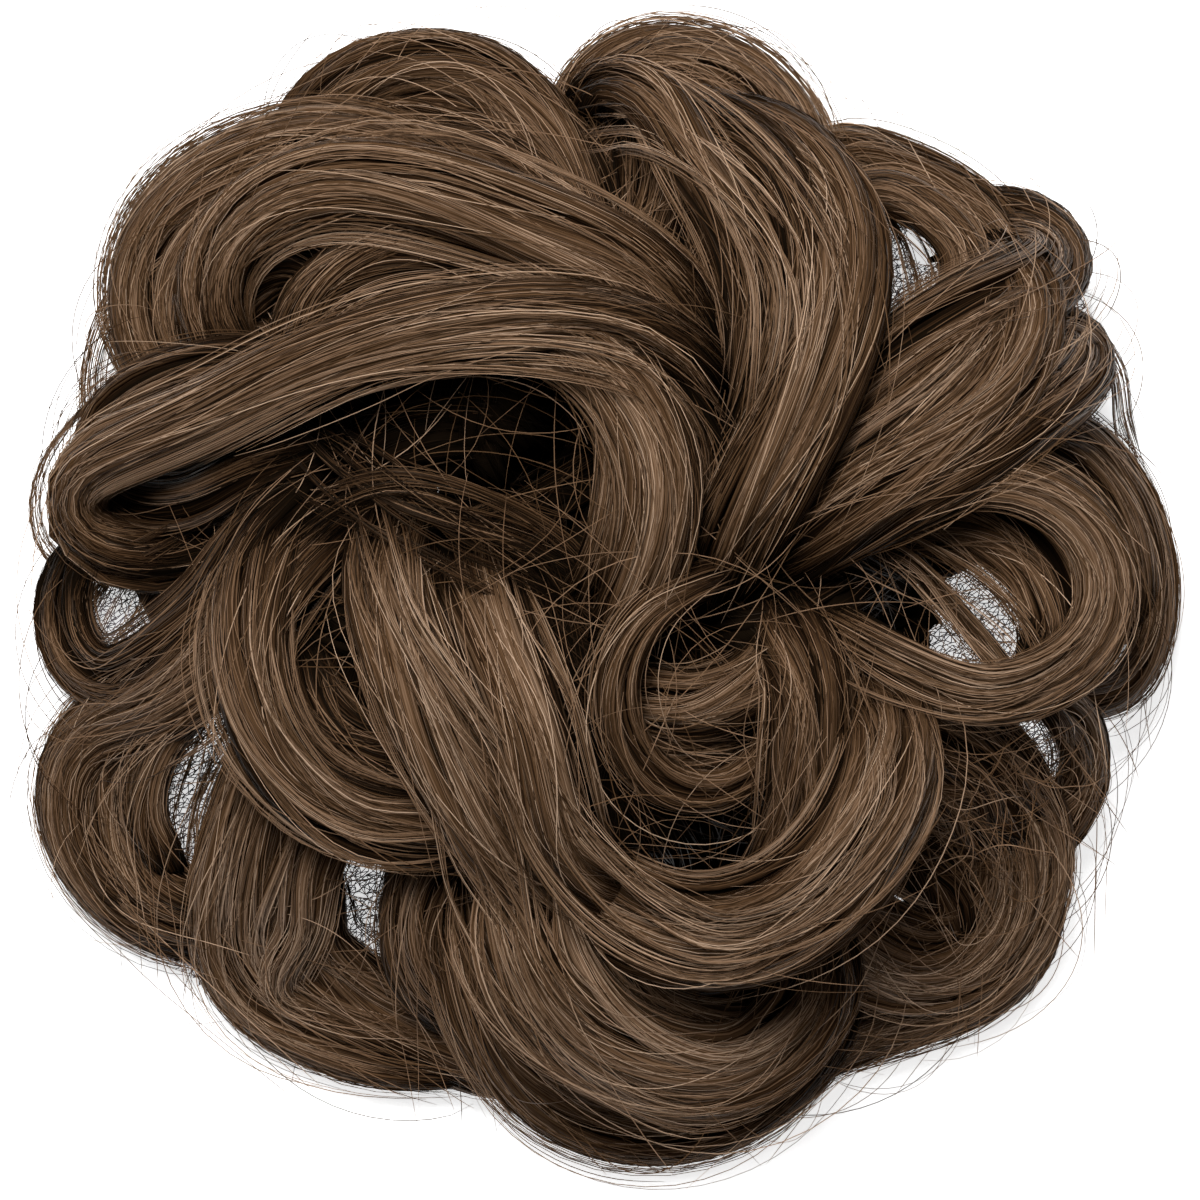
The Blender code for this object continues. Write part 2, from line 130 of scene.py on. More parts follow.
CENTRE_LOCKS = (
    Lock("fall_left", 12.0, 7.5, 0.04, (
        (-27, 16, 25), (-30, 9, 33), (-31, 1, 41), (-28.5, -8, 47), (-25, -18, 47), (-20, -28, 44),
        (-14, -36.5, 38), (-7, -42, 31), (1, -44, 21))),
    Lock("fall_right", 13.5, 8.0, 0.04, (
        (-19.5, 8, 23), (-18.5, 2, 32), (-16.5, -5, 41), (-14, -12, 46), (-11, -20, 47), (-9, -29, 44),
        (-6, -37, 38), (0, -41.5, 30), (8, -42, 20))),
    Lock("hollow_rim_inner", 5.0, 4.0, 0.05, (
        (-33, 28, 31), (-20, 34.5, 39), (-8.5, 33.5, 42), (0, 26, 43), (1, 16, 42), (-1, 6, 38),
        (-6, -3, 31))),
    Lock("hollow_rim_middle", 10.5, 7.0, 0.1, (
        (-27, 37, 33), (-12, 37.5, 44), (0, 32, 48), (7, 21, 49), (8, 11, 48), (5, 0, 43),
        (0, -10, 32))),
    Lock("hollow_rim_outer", 9.0, 6.0, -0.05, (
        (-4, 34, 39), (5, 30, 41), (12, 21, 41), (13.5, 11, 38), (9, 0, 31))),
    Lock("small_curl", 6.0, 5.0, 0.02, (
        (20, 4, 32), (13, 2, 44), (5.5, -2.5, 47), (1.5, -11, 46), (2.5, -20, 42), (8, -26.5, 38),
        (17, -27.5, 36), (24, -20, 34), (25, -10, 30))),
    Lock("small_curl_bowl", 9.5, 6.0, 0.0, (
        (1, -12, 32), (5, -14, 37), (13, -15.5, 39), (21, -12, 38), (25, -5, 32))),
    Lock("small_curl_foot", 10.0, 6.0, 0.0, (
        (0, -18, 30), (10, -22, 34), (21, -19, 30))),
)

TOP_LOCKS = (
    Lock("loop", 13.0, 8.0, 0.0, (
        (-4, 58, 15), (-2.5, 69, 9), (4.5, 75.5, 8), (14, 75, 9), (21.5, 70, 12), (26, 62, 16),
        (26, 50, 20), (22, 36, 24))),
    Lock("under_lock", 15.0, 8.0, -0.12, (
        (2, 36, 27), (5, 47, 23), (7, 57, 19), (9, 67, 14))),
    Lock("narrow_lock", 9.0, 6.0, -0.02, (
        (-4, 68, 13), (0, 72.5, 20), (7, 70, 28), (12.5, 62, 34), (18, 53, 39), (21, 43, 40),
        (21, 32, 37), (18, 20, 31))),
    Lock("middle_lock", 12.0, 7.0, -0.1, (
        (8, 68, 22), (18, 64.5, 30), (24, 57, 37), (27, 48, 42), (26.5, 37, 43), (23.5, 26, 40),
        (18, 13, 32))),
    Lock("main_lock", 13.0, 8.0, 0.02, (
        (12, 68, 20), (23, 65, 28), (30.5, 58, 35), (34, 49, 41), (33.5, 39, 46), (30, 29, 48),
        (25, 19, 48), (19, 9, 43), (13, -2, 31))),
)

RIGHT_LOCKS = (
    Lock("upper_fan", 14.0, 7.5, -0.06, (
        (22, 14, 33), (34, 25.5, 40), (43, 33, 40), (52, 38.5, 36), (59.5, 42, 28), (64, 46, 19),
        (62, 51, 12), (54, 53, 8), (45, 50, 8))),
    Lock("sweep_upper", 12.5, 7.5, -0.02, (
        (20, 2, 31), (33, 12, 41), (43, 18.5, 43), (52, 25.5, 42), (57.5, 33.5, 37), (59, 43, 29),
        (54, 50, 20))),
    Lock("sweep_lower", 10.5, 7.0, -0.04, (
        (24, 4, 31), (40, 13, 40), (51, 18.5, 41), (59.5, 25, 36), (66, 29.5, 28), (68, 34, 18),
        (64, 38, 11), (55, 37, 9))),
    Lock("rim", 12.0, 7.5, 0.0, (
        (22, 50, 18), (32, 61, 13), (42, 59, 10), (51.5, 53.5, 11), (58, 45, 14), (60, 35, 20))),
    Lock("inner", 7.0, 5.0, 0.0, (
        (27, 50, 23), (38, 57, 23), (47, 53, 25), (51, 45, 27), (45, 31, 32))),
    Lock("ring", 8.5, 6.0, 0.1, (
        (26, 6, 31), (42, 14, 37), (54, 17, 38), (65, 13, 36), (71, 4, 33), (69.5, -6.5, 33),
        (61, -13, 35), (50, -14.5, 37), (39, -9, 37), (26, 0, 30))),
    Lock("ring_inner", 11.5, 5.5, -0.06, (
        (34, 10, 26), (49, 11.5, 27), (60, 6, 27), (64, -4, 28), (61, -12, 32))),
    Lock("ring_divider", 3.2, 2.6, -0.1, (
        (40, 9, 24), (45, 3, 22), (50, -3, 21), (55, -9, 23), (58, -13, 27))),
    Lock("ring_shoulder", 7.0, 5.0, 0.0, (
        (50, 24, 27), (61, 22, 24), (69, 16.5, 19), (74, 8.5, 14), (76, 0, 10), (74, -8, 9))),
    Lock("far_loop", 6.0, 4.5, 0.1, (
        (59, 25, 33), (69, 22, 20), (76, 13, 11), (79, 2, 8), (77.5, -8, 10), (71.5, -14.5, 17),
        (60, -15, 29))),
    Lock("mid_lock", 12.5, 7.5, 0.0, (
        (23, 0, 31), (28.5, -11, 41), (28.5, -22, 40), (27, -32, 36), (22, -42, 29))),
    Lock("low_bed", 18.0, 9.0, -0.1, (
        (30, -12, 27), (43, -21, 28), (53, -26, 23), (60, -34, 16))),
    Lock("low_lock", 7.5, 6.0, 0.0, (
        (60, -12, 31), (67, -19, 20), (67.5, -28, 12), (62, -38, 11))),
)

BOTTOM_LOCKS = (
    Lock("lower_right_lock", 16.0, 9.5, 0.1, (
        (-10, -34, 18), (-3, -41, 24), (5, -45.5, 32), (13, -47.5, 39), (23, -45.5, 44), (32, -39, 46),
        (38, -29, 45), (40.5, -18, 38), (34, -8, 30))),
    Lock("main_lock", 15.0, 9.5, 0.1, (
        (-15, -22, 16), (-14, -34, 19), (-12, -44, 26), (-9.5, -52, 31), (-5, -59, 30), (0, -63.5, 27),
        (9, -67.5, 23), (19, -67.5, 20), (26.5, -62, 20), (31, -53, 24), (26, -42, 29))),
    Lock("rim_lock", 12.5, 8.0, 0.04, (
        (-21, -22, 16), (-21, -35, 18), (-20, -46, 22), (-17, -58, 20), (-11.5, -67.5, 13),
        (-3, -74, 8), (8, -76, 7), (18.5, -73.5, 7), (26.5, -67.5, 9), (32, -60, 12), (33, -51, 16))),
    Lock("inner_lock", 9.5, 6.0, -0.05, (
        (-4, -36, 27), (1, -52, 26), (7, -59, 22), (17, -61, 20), (27, -57, 21))),
    Lock("lower_right_lobe", 16.0, 9.0, 0.12, (
        (56, -24, 21), (59.5, -38, 13), (55, -48.5, 11), (46, -53, 13), (36, -49, 20), (25, -38, 27))),
    Lock("lower_right_rim", 10.0, 6.5, 0.1, (
        (62, -38, 10), (59.5, -51, 6), (52, -58, 5), (42, -61, 6), (32, -64.5, 8), (23, -70, 10))),
)

# Low locks that close the gaps under the others; their dark tone is painted shade.
FILL_LOCKS = (
    Lock("arch_fill", 14.0, 6.0, -0.3, (
        (-52, 43, 12), (-38, 46, 14), (-24, 46, 16), (-10, 45, 18))),
    Lock("pocket_fill", 11.0, 5.0, -0.35, (
        (-54, 27, 10), (-44, 28, 12), (-34, 28, 14), (-26, 30, 16))),
    Lock("side_fill", 11.0, 5.0, -0.25, (
        (-66, 15, 8), (-56, 16, 10), (-44, 17, 12), (-34, 18, 14))),
    Lock("under_fill", 13.0, 6.0, -0.2, (
        (8, 38, 22), (14, 47, 21), (21, 55, 19), (26, 63, 14))),
    Lock("loop_fill", 9.0, 5.0, -0.16, (
        (-8, 50, 18), (-3, 59, 15), (2, 66, 11), (11, 70, 9))),
    Lock("inner_fill", 13.0, 6.0, -0.2, (
        (-6, -50, 12), (4, -55, 12), (15, -57, 12), (28, -54, 12), (42, -44, 12))),
    Lock("lower_right_fill", 12.0, 7.0, -0.1, (
        (34, -24, 25), (44, -35, 19), (49, -43, 14), (50, -52, 11))),
    Lock("hollow_fill", 13.0, 4.0, -0.45, (
        (-20, -2, 13), (-11, 5, 11), (-3, 11, 11), (4, 19, 13))),
)

# Thin veils of strands with no packed hair in them: airy edges at the rim, and sheets over the locks.
VEILS = (
    Lock("side_edge", 5.0, 2.5, 0.0, (
        (-44, 35, 27), (-58, 34, 22), (-70, 28, 15), (-77.5, 20, 11), (-80, 12.5, 9), (-77.5, 6, 9),
        (-69, 5, 14), (-58, 10, 25))),
    Lock("arch_edge", 6.0, 2.5, 0.0, (
        (-48, 56, 18), (-60, 50, 14), (-69, 41, 10), (-72.5, 31, 8), (-71, 22, 9), (-64, 15, 16))),
    Lock("far_edge", 4.0, 2.5, 0.0, (
        (58, 28, 31), (68, 25, 20), (76, 17, 12), (80.5, 5, 8), (80, -6, 9), (75, -14.5, 14),
        (62, -18, 26))),
    Lock("corner_edge", 7.0, 3.0, -0.05, (
        (56, 34, 34), (66, 37, 26), (71, 32, 18), (72, 24, 13), (75, 16, 10))),
    Lock("arch_sheet", 13.0, 4.0, 0.08, (
        (-60, 42, 25), (-48, 54, 31), (-30, 60, 37), (-10, 54, 42), (8, 42, 45), (16, 28, 41))),
    Lock("sweep_sheet", 12.0, 4.0, 0.08, (
        (-66, 19, 24), (-50, 27, 37), (-32, 34, 46), (-12, 36, 51), (6, 32, 51), (16, 20, 46))),
    Lock("top_sheet", 14.0, 4.0, 0.05, (
        (-8, 68, 18), (6, 69, 29), (19, 60, 39), (28, 46, 47), (28, 30, 51), (22, 14, 47))),
    Lock("fan_sheet", 14.0, 4.0, 0.05, (
        (24, 8, 40), (38, 17, 45), (50, 27, 44), (60, 39, 34), (60, 48, 20))),
    Lock("ring_sheet", 9.0, 3.0, 0.05, (
        (26, -3, 38), (40, -11, 42), (54, -14.5, 41), (66, -9, 37), (71, 2, 35), (64, 14, 37))),
    Lock("fall_sheet", 12.0, 4.0, 0.05, (
        (-34, 12, 42), (-31, -4, 50), (-23, -19, 51), (-13, -33, 40))),
    Lock("bowl_sheet", 10.0, 4.0, 0.05, (
        (-50, 8, 34), (-52, -8, 39), (-47, -22, 41), (-34, -33, 41), (-14, -33, 37))),
    Lock("bottom_sheet", 13.0, 4.0, 0.05, (
        (-14, -34, 36), (-13, -50, 38), (-4, -63, 33), (12, -70, 25), (25, -64, 23))),
    Lock("lower_right_sheet", 13.0, 4.0, 0.08, (
        (2, -43, 40), (16, -49, 46), (31, -43, 50), (41, -28, 48), (39, -12, 42))),
    Lock("left_sheet", 11.0, 3.0, 0.0, (
        (-58, -8, 30), (-69, -20, 16), (-71.5, -34, 10), (-62, -46, 9))),
    Lock("side_gap", 8.0, 3.0, 0.0, (
        (-50, 13, 18), (-61, 8, 14), (-68, 1, 10), (-73, -8, 8), (-72, -17, 9))),
    Lock("left_gap", 8.0, 3.0, 0.0, (
        (-50, -10, 26), (-56, -20, 18), (-59.5, -31, 12), (-60, -42, 8))),
    Lock("right_gap", 7.0, 3.0, -0.05, (
        (33, 62, 11), (40, 56, 13), (45, 48, 16), (46, 39, 21), (40, 29, 28))),
    Lock("ring_gap", 9.0, 3.0, -0.05, (
        (34, 9, 33), (44, 6, 32), (52, -1, 31), (58, -9, 33), (60, -16, 34))),
    # The next two veils are dark: their tone is painted shade over the falls' roots at the hollow.
    Lock("hollow_edge", 11.0, 5.0, -0.38, (
        (-46, 24, 30), (-39, 17, 36), (-31, 11.5, 41), (-22, 7, 42), (-12, 3, 40), (-3, -3, 36))),
    Lock("hollow_lip", 8.0, 5.0, -0.34, (
        (-44, 8, 36), (-36, 13, 39), (-28, 14.5, 41), (-18, 11.5, 40), (-8, 5, 37), (-2, -4, 34))),
    Lock("junction_sheet", 14.0, 4.0, 0.0, (
        (-23, -20, 49), (-17, -33, 44), (-13, -44, 38), (-8, -56, 36), (2, -66, 28))),
    Lock("junction_right", 11.0, 4.0, 0.0, (
        (-14, -22, 49), (-7, -35, 44), (4, -45, 42), (17, -49.5, 46), (30, -44, 49))),
    Lock("falling_sheet", 12.0, 3.0, 0.05, (
        (-44, -20, 31), (-50, -38, 26), (-50, -53, 13), (-38, -63, 9), (-20, -67, 9))),
    Lock("lobe_sheet", 13.0, 3.0, 0.0, (
        (52, -20, 30), (61, -35, 19), (57, -49, 14), (44, -58, 12), (28, -64, 12))),
)

# The loops nearest the table are petals round the weft ring: where each points, in degrees anticlockwise
# from +X, how far its crest reaches from the ring's centre, and half the angle that it spans.
Petal = namedtuple("Petal", "name angle reach half_span")
LOW_PETALS = (
    Petal("petal_right", 19, 60, 15),
    Petal("petal_top", 76, 60, 17),
    Petal("petal_top_left", 124, 62, 16),
    Petal("petal_left", 177, 60, 15),
    Petal("petal_bottom", 264, 60, 17),
    Petal("petal_lower_right", 313, 58, 18),
)
LOW_PETAL_WIDTH = 12.0
LOW_PETAL_DEPTH = 8.0
LOW_PETAL_HEIGHT = 6.0
LOW_PETAL_ROOT = 40.0
LOW_PETAL_STEPS = 3
LOW_PETAL_BELLY = 0.3
LOW_PETAL_SQUARENESS = 2.5
LOW_PETAL_TONE = -0.12


def unit(vectors):
    """The same vectors, one long."""
    return vectors / np.maximum(np.linalg.norm(vectors, axis=-1, keepdims=True), 1e-12)


def linear_rgb(hex_colour):
    """The linear colour of an sRGB hex value such as #8a6f5a."""
    channels = [int(hex_colour[start:start + 2], 16) / 255 for start in (1, 3, 5)]
    return tuple(c / 12.92 if c <= 0.04045 else ((c + 0.055) / 1.055) ** 2.4 for c in channels)


# Centre lines, and the frame that a lock's hair is placed in.

FRAME_SAMPLES = 240
BANK = 0.45  # how far, in radians, a lock at the rim leans outwards
RIM_RADIUS = 80.0
DIVE = 5.0 * MM  # how far a lock's ends sink into the hair below
DIVE_LENGTH = 0.12
DIVE_FLOOR = 12 * MM  # a lock's end below this height stays where it is
DIVE_FADE = 10 * MM
ROOT_SHARE = 0.7  # a lock's width at its ends, as a share of its full width
ROOT_LENGTH = 0.22  # the share of a lock's length in which it reaches its full width

LockFrame = namedtuple("LockFrame", "centre side up spread length turning")


def smooth_line(stations, samples):
    """A smooth line through the stations, sampled at even steps, and its length."""
    points = np.array(stations, float) * MM
    points = np.vstack([2 * points[0] - points[1], points, 2 * points[-1] - points[-2]])
    spans = len(points) - 3
    place = np.linspace(0, spans, samples * 3)
    first = np.minimum(place.astype(int), spans - 1)
    t = (place - first)[:, None]
    a, b, c, d = (points[first + offset] for offset in range(4))
    bend = (2 * a - 5 * b + 4 * c - d) * t ** 2 + (3 * b - a - 3 * c + d) * t ** 3
    line = 0.5 * (2 * b + (c - a) * t + bend)
    walked = np.concatenate([[0], np.cumsum(np.linalg.norm(np.diff(line, axis=0), axis=1))])
    even = np.linspace(0, walked[-1], samples)
    return np.stack([np.interp(even, walked, line[:, axis]) for axis in range(3)], axis=1), walked[-1]


def lock_frame(route):
    """Where a lock's centre runs, which way its flat side and its top face, and how wide it is there."""
    centre, length = smooth_line(route, FRAME_SAMPLES)
    share = np.linspace(0, 1, FRAME_SAMPLES)
    sunk = 1 - np.clip(np.minimum(share, 1 - share) / DIVE_LENGTH, 0, 1)
    room = np.clip((centre[:, 2] - DIVE_FLOOR) / DIVE_FADE, 0, 1)
    centre[:, 2] -= DIVE * room * sunk ** 2
    along = unit(np.gradient(centre, axis=0))
    side = unit(np.cross(along, UP))
    up = np.cross(side, along)
    outward = centre * (1, 1, 0) / (RIM_RADIUS * MM)
    lean = BANK * np.sum(outward * side, axis=1, keepdims=True)
    side, up = side * np.cos(lean) - up * np.sin(lean), up * np.cos(lean) + side * np.sin(lean)
    near_end = np.clip(np.minimum(share, 1 - share) / ROOT_LENGTH, 0, 1)
    spread = ROOT_SHARE + (1 - ROOT_SHARE) * np.sin(near_end * pi / 2)
    turning = np.sum(np.arccos(np.clip(np.sum(along[:-1] * along[1:], axis=1), -1, 1)))
    return LockFrame(centre, side, up, spread[:, None], length, turning)


def read_rows(table, place):
    """The rows of an evenly spaced table at each place from 0 to 1."""
    place = np.clip(place, 0, 1) * (len(table) - 1)
    low = np.minimum(place.astype(int), len(table) - 2)
    t = (place - low)[..., None]
    return table[low] * (1 - t) + table[low + 1] * t


def read_frame(shape, share):
    """The centre, side, up and spread of a lock at each share of its length."""
    return [read_rows(table, share) for table in (shape.centre, shape.side, shape.up, shape.spread)]


def petal_lock(petal):
    """A low loop that leaves the weft ring, bows out to its crest and comes back."""
    route = []
    for step in range(-LOW_PETAL_STEPS, LOW_PETAL_STEPS + 1):
        side = step / LOW_PETAL_STEPS
        belly = 1 + LOW_PETAL_BELLY * (1 - abs(side))
        angle = radians(petal.angle + petal.half_span * side * belly)
        reach = petal.reach + (LOW_PETAL_ROOT - petal.reach) * abs(side) ** LOW_PETAL_SQUARENESS
        route.append((RING_CENTRE[0] + reach * np.cos(angle), RING_CENTRE[1] + reach * np.sin(angle),
                      LOW_PETAL_HEIGHT))
    return Lock(petal.name, LOW_PETAL_WIDTH, LOW_PETAL_DEPTH, LOW_PETAL_TONE, tuple(route))


# The weft ring's section from the hollow's mouth over the shoulder and round to the hollow's wall.

RING_SHOULDERS = ((0.62, 1.0), (0.86, 0.84), (0.97, 0.56), (1.0, 0.26))  # radius and height, as shares
RING_FOOT_SHARE = 0.93
RING_TOP_STEPS = 9
RING_UNDERSIDE = 0.4
HOLLOW_FLARE_START = 24.0


def ring_height(reach):
    """The height of the weft ring's top at a distance from its centre, in millimetres."""
    shares, heights = zip(*RING_SHOULDERS)
    return np.interp(reach / RING_RADIUS, shares, heights) * RING_HEIGHT


def ring_section(angle):
    """The closed section of the weft ring at each angle, as (angle, point, xyz) in metres."""
    angle = np.asarray(angle, float)
    toward = np.stack([np.cos(angle), np.sin(angle)], axis=-1)
    mouth = np.array(HOLLOW_CENTRE) + HOLLOW_MOUTH_RADIUS * toward
    edge = np.array(RING_CENTRE) + RING_RADIUS * toward
    rows = []
    for step in range(RING_TOP_STEPS + 1):
        plan = mouth + (edge - mouth) * step / RING_TOP_STEPS
        reach = np.linalg.norm(plan - RING_CENTRE, axis=-1, keepdims=True)
        rows.append(np.concatenate([plan, ring_height(reach)], axis=-1))
    wall = np.array(HOLLOW_CENTRE) + HOLLOW_RADIUS * toward
    foot = np.array(RING_CENTRE) + RING_RADIUS * RING_FOOT_SHARE * toward
    for plan, height in ((foot, RING_UNDERSIDE), (wall, RING_UNDERSIDE), (wall, HOLLOW_FLARE_START)):
        rows.append(np.concatenate([plan, np.full_like(plan[..., :1], height)], axis=-1))
    return np.stack(rows, axis=-2) * MM


RING_FOOT_ROW = RING_TOP_STEPS + 1


# Short locks that lie on the weft ring under the others, and a few that cross the hollow low down.

UNDER_LOCKS = 38
UNDER_WIDTHS = (6.0, 10.0)
UNDER_DEPTH = 4.5
UNDER_REACHES = (17.0, 49.0)
UNDER_START_SPREAD = 10  # how much farther out than the first reach a lock may start
UNDER_SWEEP = 62.0  # degrees round the ring
UNDER_LIFT = 1.6
UNDER_STATIONS = 6
# Painted shade: the locks under the others are drawn dark.
UNDER_PAINTED_SHADE = -0.42
UNDER_SEED = 21
GOLDEN_ANGLE = 137.5
CROSSING_LOCKS = 9
CROSSING_HEIGHTS = (9.0, 24.0)
CROSSING_SPAN = 21.0
CROSSING_WIDTH = 9.0
CROSSING_DEPTH = 4.0
CROSSING_BOW = 9.0
CROSSING_RISE = 5.0
# Painted shade: the locks low across the hollow are drawn dark.
CROSSING_PAINTED_SHADE = -0.5


def under_locks():
    """The locks on the weft ring, then those across the hollow."""
    rng = np.random.default_rng(UNDER_SEED)
    locks = []
    for number in range(UNDER_LOCKS):
        angle, sweep = number * GOLDEN_ANGLE, rng.uniform(-UNDER_SWEEP, UNDER_SWEEP)
        inner = UNDER_REACHES[0] + rng.uniform(0, UNDER_START_SPREAD)
        route = []
        for step in range(UNDER_STATIONS):
            share = step / (UNDER_STATIONS - 1)
            turn = radians(angle + sweep * share)
            reach = inner + (UNDER_REACHES[1] - inner) * share
            height = ring_height(reach) + UNDER_LIFT * (1 + np.sin(3 * share + number))
            route.append((RING_CENTRE[0] + reach * np.cos(turn), RING_CENTRE[1] + reach * np.sin(turn),
                          height))
        width = rng.uniform(*UNDER_WIDTHS)
        locks.append(Lock(f"under_{number}", width, UNDER_DEPTH, UNDER_PAINTED_SHADE, tuple(route)))
    for number in range(CROSSING_LOCKS):
        turn = radians(number * GOLDEN_ANGLE)
        toward = np.array((np.cos(turn), np.sin(turn)))
        aside = np.array((-toward[1], toward[0])) * rng.uniform(-CROSSING_BOW, CROSSING_BOW)
        lowest, highest = CROSSING_HEIGHTS
        height = lowest + (highest - lowest) * number / CROSSING_LOCKS
        route = []
        for share in (-1.0, -0.5, 0.0, 0.5, 1.0):
            plan = HOLLOW_CENTRE + toward * CROSSING_SPAN * share + aside * (1 - share ** 2)
            route.append((*plan, height + CROSSING_RISE * share ** 2))
        locks.append(Lock(f"crossing_{number}", CROSSING_WIDTH, CROSSING_DEPTH, CROSSING_PAINTED_SHADE,
                          tuple(route)))
    return tuple(locks)


LOCK_GROUPS = {
    "left_locks": LEFT_LOCKS,
    "lower_left_locks": LOWER_LEFT_LOCKS,
    "centre_locks": CENTRE_LOCKS,
    "top_locks": TOP_LOCKS,
    "right_locks": RIGHT_LOCKS,
    "bottom_locks": BOTTOM_LOCKS,
    "low_loops": tuple(petal_lock(petal) for petal in LOW_PETALS),
    "under_locks": under_locks(),
    "fill_locks": FILL_LOCKS,
}
HIDDEN_GROUPS = ("low_loops", "under_locks", "fill_locks")
OUTER_LOCKS = [lock for group, locks in LOCK_GROUPS.items() if group != "under_locks" for lock in locks]


# Hair as one mesh for a piece. Its rings of points are (strand, step, corner, xyz) in metres.

STRIP_ROWS = 16  # the rows of strips that a piece's hair is laid out in on its map
STRIP_MARGIN = 0.12
GRAIN_OFFSET = 17.3  # millimetres between the patterns of one bundle and the next
TIP_SHARE = 0.12  # the share of a strand's length in which it tapers to its tip
TIP_WIDTH = 0.35


def corner_map(across, along):
    """The map of each quad's four corners, from (strand, edge) and (strand, step) coordinates."""
    u = np.stack([across[:, :-1], across[:, 1:], across[:, 1:], across[:, :-1]], axis=-1)[:, None]
    v = np.stack([along[:, :-1], along[:, :-1], along[:, 1:], along[:, 1:]], axis=-1)[:, :, None]
    shape = np.broadcast_shapes(u.shape, v.shape)
    return np.stack([np.broadcast_to(u, shape), np.broadcast_to(v, shape)], axis=-1).reshape(-1, 2)


class HairMesh:
    """Gathers strands and bundles, and joins them into one mesh, with a strip of its map for each."""

    def __init__(self):
        self.blocks = []

    def add(self, rings, tone, closed):
        """Closed rings make tubes with ends, and the others flat strips."""
        self.blocks.append((rings, np.asarray(tone, float), closed))

    def to_object(self, name, material):
        """The mesh as an object, with a map for the export and one in millimetres for the materials."""
        total = sum(len(rings) for rings, _, _ in self.blocks)
        columns = int(np.ceil(total / STRIP_ROWS))
        corners_of, sizes, strip_map, grain_map = [], [], [], []
        base = number = 0
        for rings, _, closed in self.blocks:
            count, steps, corners = rings.shape[:3]
            index = base + np.arange(count * steps * corners).reshape(count, steps, corners)
            first, second = index[..., :-1], index[..., 1:]
            if closed:
                first, second = index, np.roll(index, -1, axis=2)
            quads = np.stack([first[:, :-1], second[:, :-1], second[:, 1:], first[:, 1:]], axis=-1)
            edges = first.shape[2]
            own = number + np.arange(count)
            left, foot = (own % columns)[:, None], (own // columns)[:, None]
            u = (left + np.linspace(STRIP_MARGIN, 1 - STRIP_MARGIN, edges + 1)) / columns
            v = (foot + np.linspace(STRIP_MARGIN, 1 - STRIP_MARGIN, steps)) / STRIP_ROWS
            step_length = np.linalg.norm(np.diff(rings[:, :, 0], axis=1), axis=-1)
            walked = np.concatenate([np.zeros((count, 1)), np.cumsum(step_length, axis=1)], axis=1)
            middle = rings[:, steps // 2]
            girth = np.linalg.norm(middle - np.roll(middle, -1, axis=1), axis=-1).sum(axis=1)
            grain_u = girth[:, None] * np.linspace(0, 1, edges + 1) / MM + own[:, None] * GRAIN_OFFSET
            corners_of.append(quads.ravel())
            sizes.append(np.full(quads.size // 4, 4))
            strip_map.append(corner_map(u, v))
            grain_map.append(corner_map(grain_u, walked / MM))
            if closed:
                for ends, place in ((index[:, 0, ::-1], 0), (index[:, -1], -1)):
                    corners_of.append(ends.ravel())
                    sizes.append(np.full(count, corners))
                    end_v = np.repeat(v[:, place:][:, :1], corners, axis=1)
                    strip = np.stack([u[:, :corners], end_v], axis=-1)
                    strip_map.append(strip.reshape(-1, 2))
                    grain_map.append(np.zeros((count * corners, 2)))
            base += count * steps * corners
            number += count
        points = np.concatenate([rings.reshape(-1, 3) for rings, _, _ in self.blocks])
        tones = [np.repeat(np.broadcast_to(tone.reshape(len(rings), -1), rings.shape[:2]), rings.shape[2])
                 for rings, tone, _ in self.blocks]
        corners_of, sizes = np.concatenate(corners_of), np.concatenate(sizes)
        mesh = bpy.data.meshes.new(name)
        mesh.vertices.add(len(points))
        mesh.vertices.foreach_set("co", points.astype(np.float32).ravel())
        mesh.loops.add(len(corners_of))
        mesh.loops.foreach_set("vertex_index", corners_of.astype(np.int32))
        mesh.polygons.add(len(sizes))
        mesh.polygons.foreach_set("loop_start", (np.cumsum(sizes) - sizes).astype(np.int32))
        for map_name, values in (("OFBake", strip_map), ("grain", grain_map)):
            layer = mesh.uv_layers.new(name=map_name)
            layer.uv.foreach_set("vector", np.concatenate(values).astype(np.float32).ravel())
        attribute = mesh.attributes.new("strand_tone_and_shade", "FLOAT", "POINT")
        attribute.data.foreach_set("value", np.concatenate(tones).astype(np.float32))
        mesh.update()
        mesh.shade_smooth()
        mesh.materials.append(material)
        made = bpy.data.objects.new(name, mesh)
        bpy.context.scene.collection.objects.link(made)
        print(name, int((sizes - 2).sum()), "triangles")
        return made


def path_frame(paths, facing):
    """Which way each path runs, and the directions across it and out of it towards facing."""
    along = unit(np.gradient(paths, axis=1))
    across = unit(np.cross(along, facing))
    return along, across, np.cross(across, along)


def tip_taper(steps):
    """A strand's width at each step, as a share of its full width."""
    share = np.linspace(0, 1, steps)
    return TIP_WIDTH + (1 - TIP_WIDTH) * np.clip(np.minimum(share, 1 - share) / TIP_SHARE, 0, 1)


def flat_rings(paths, facing, width, roll):
    """A flat strip along each path, rolled from the way that it faces by so many radians."""
    _, across, out = path_frame(paths, facing)
    across = across * np.cos(roll)[:, None, None] + out * np.sin(roll)[:, None, None]
    half = (np.asarray(width)[:, None] * tip_taper(paths.shape[1]))[..., None] / 2
    return np.stack([paths - across * half, paths + across * half], axis=2)


def round_rings(paths, facing, size, corners, thickness=1.0):
    """A tube round each path; size is its half width, (path, step), and thickness its share of that."""
    _, across, out = path_frame(paths, facing)
    turn = (2 * pi * np.arange(corners) / corners)[:, None]
    offset = out[:, :, None] * np.cos(turn) * thickness + across[:, :, None] * np.sin(turn)
    return paths[:, :, None] + size[..., None, None] * offset


# A lock is a ring of bundles round a core, and each bundle carries strands on its outer side.

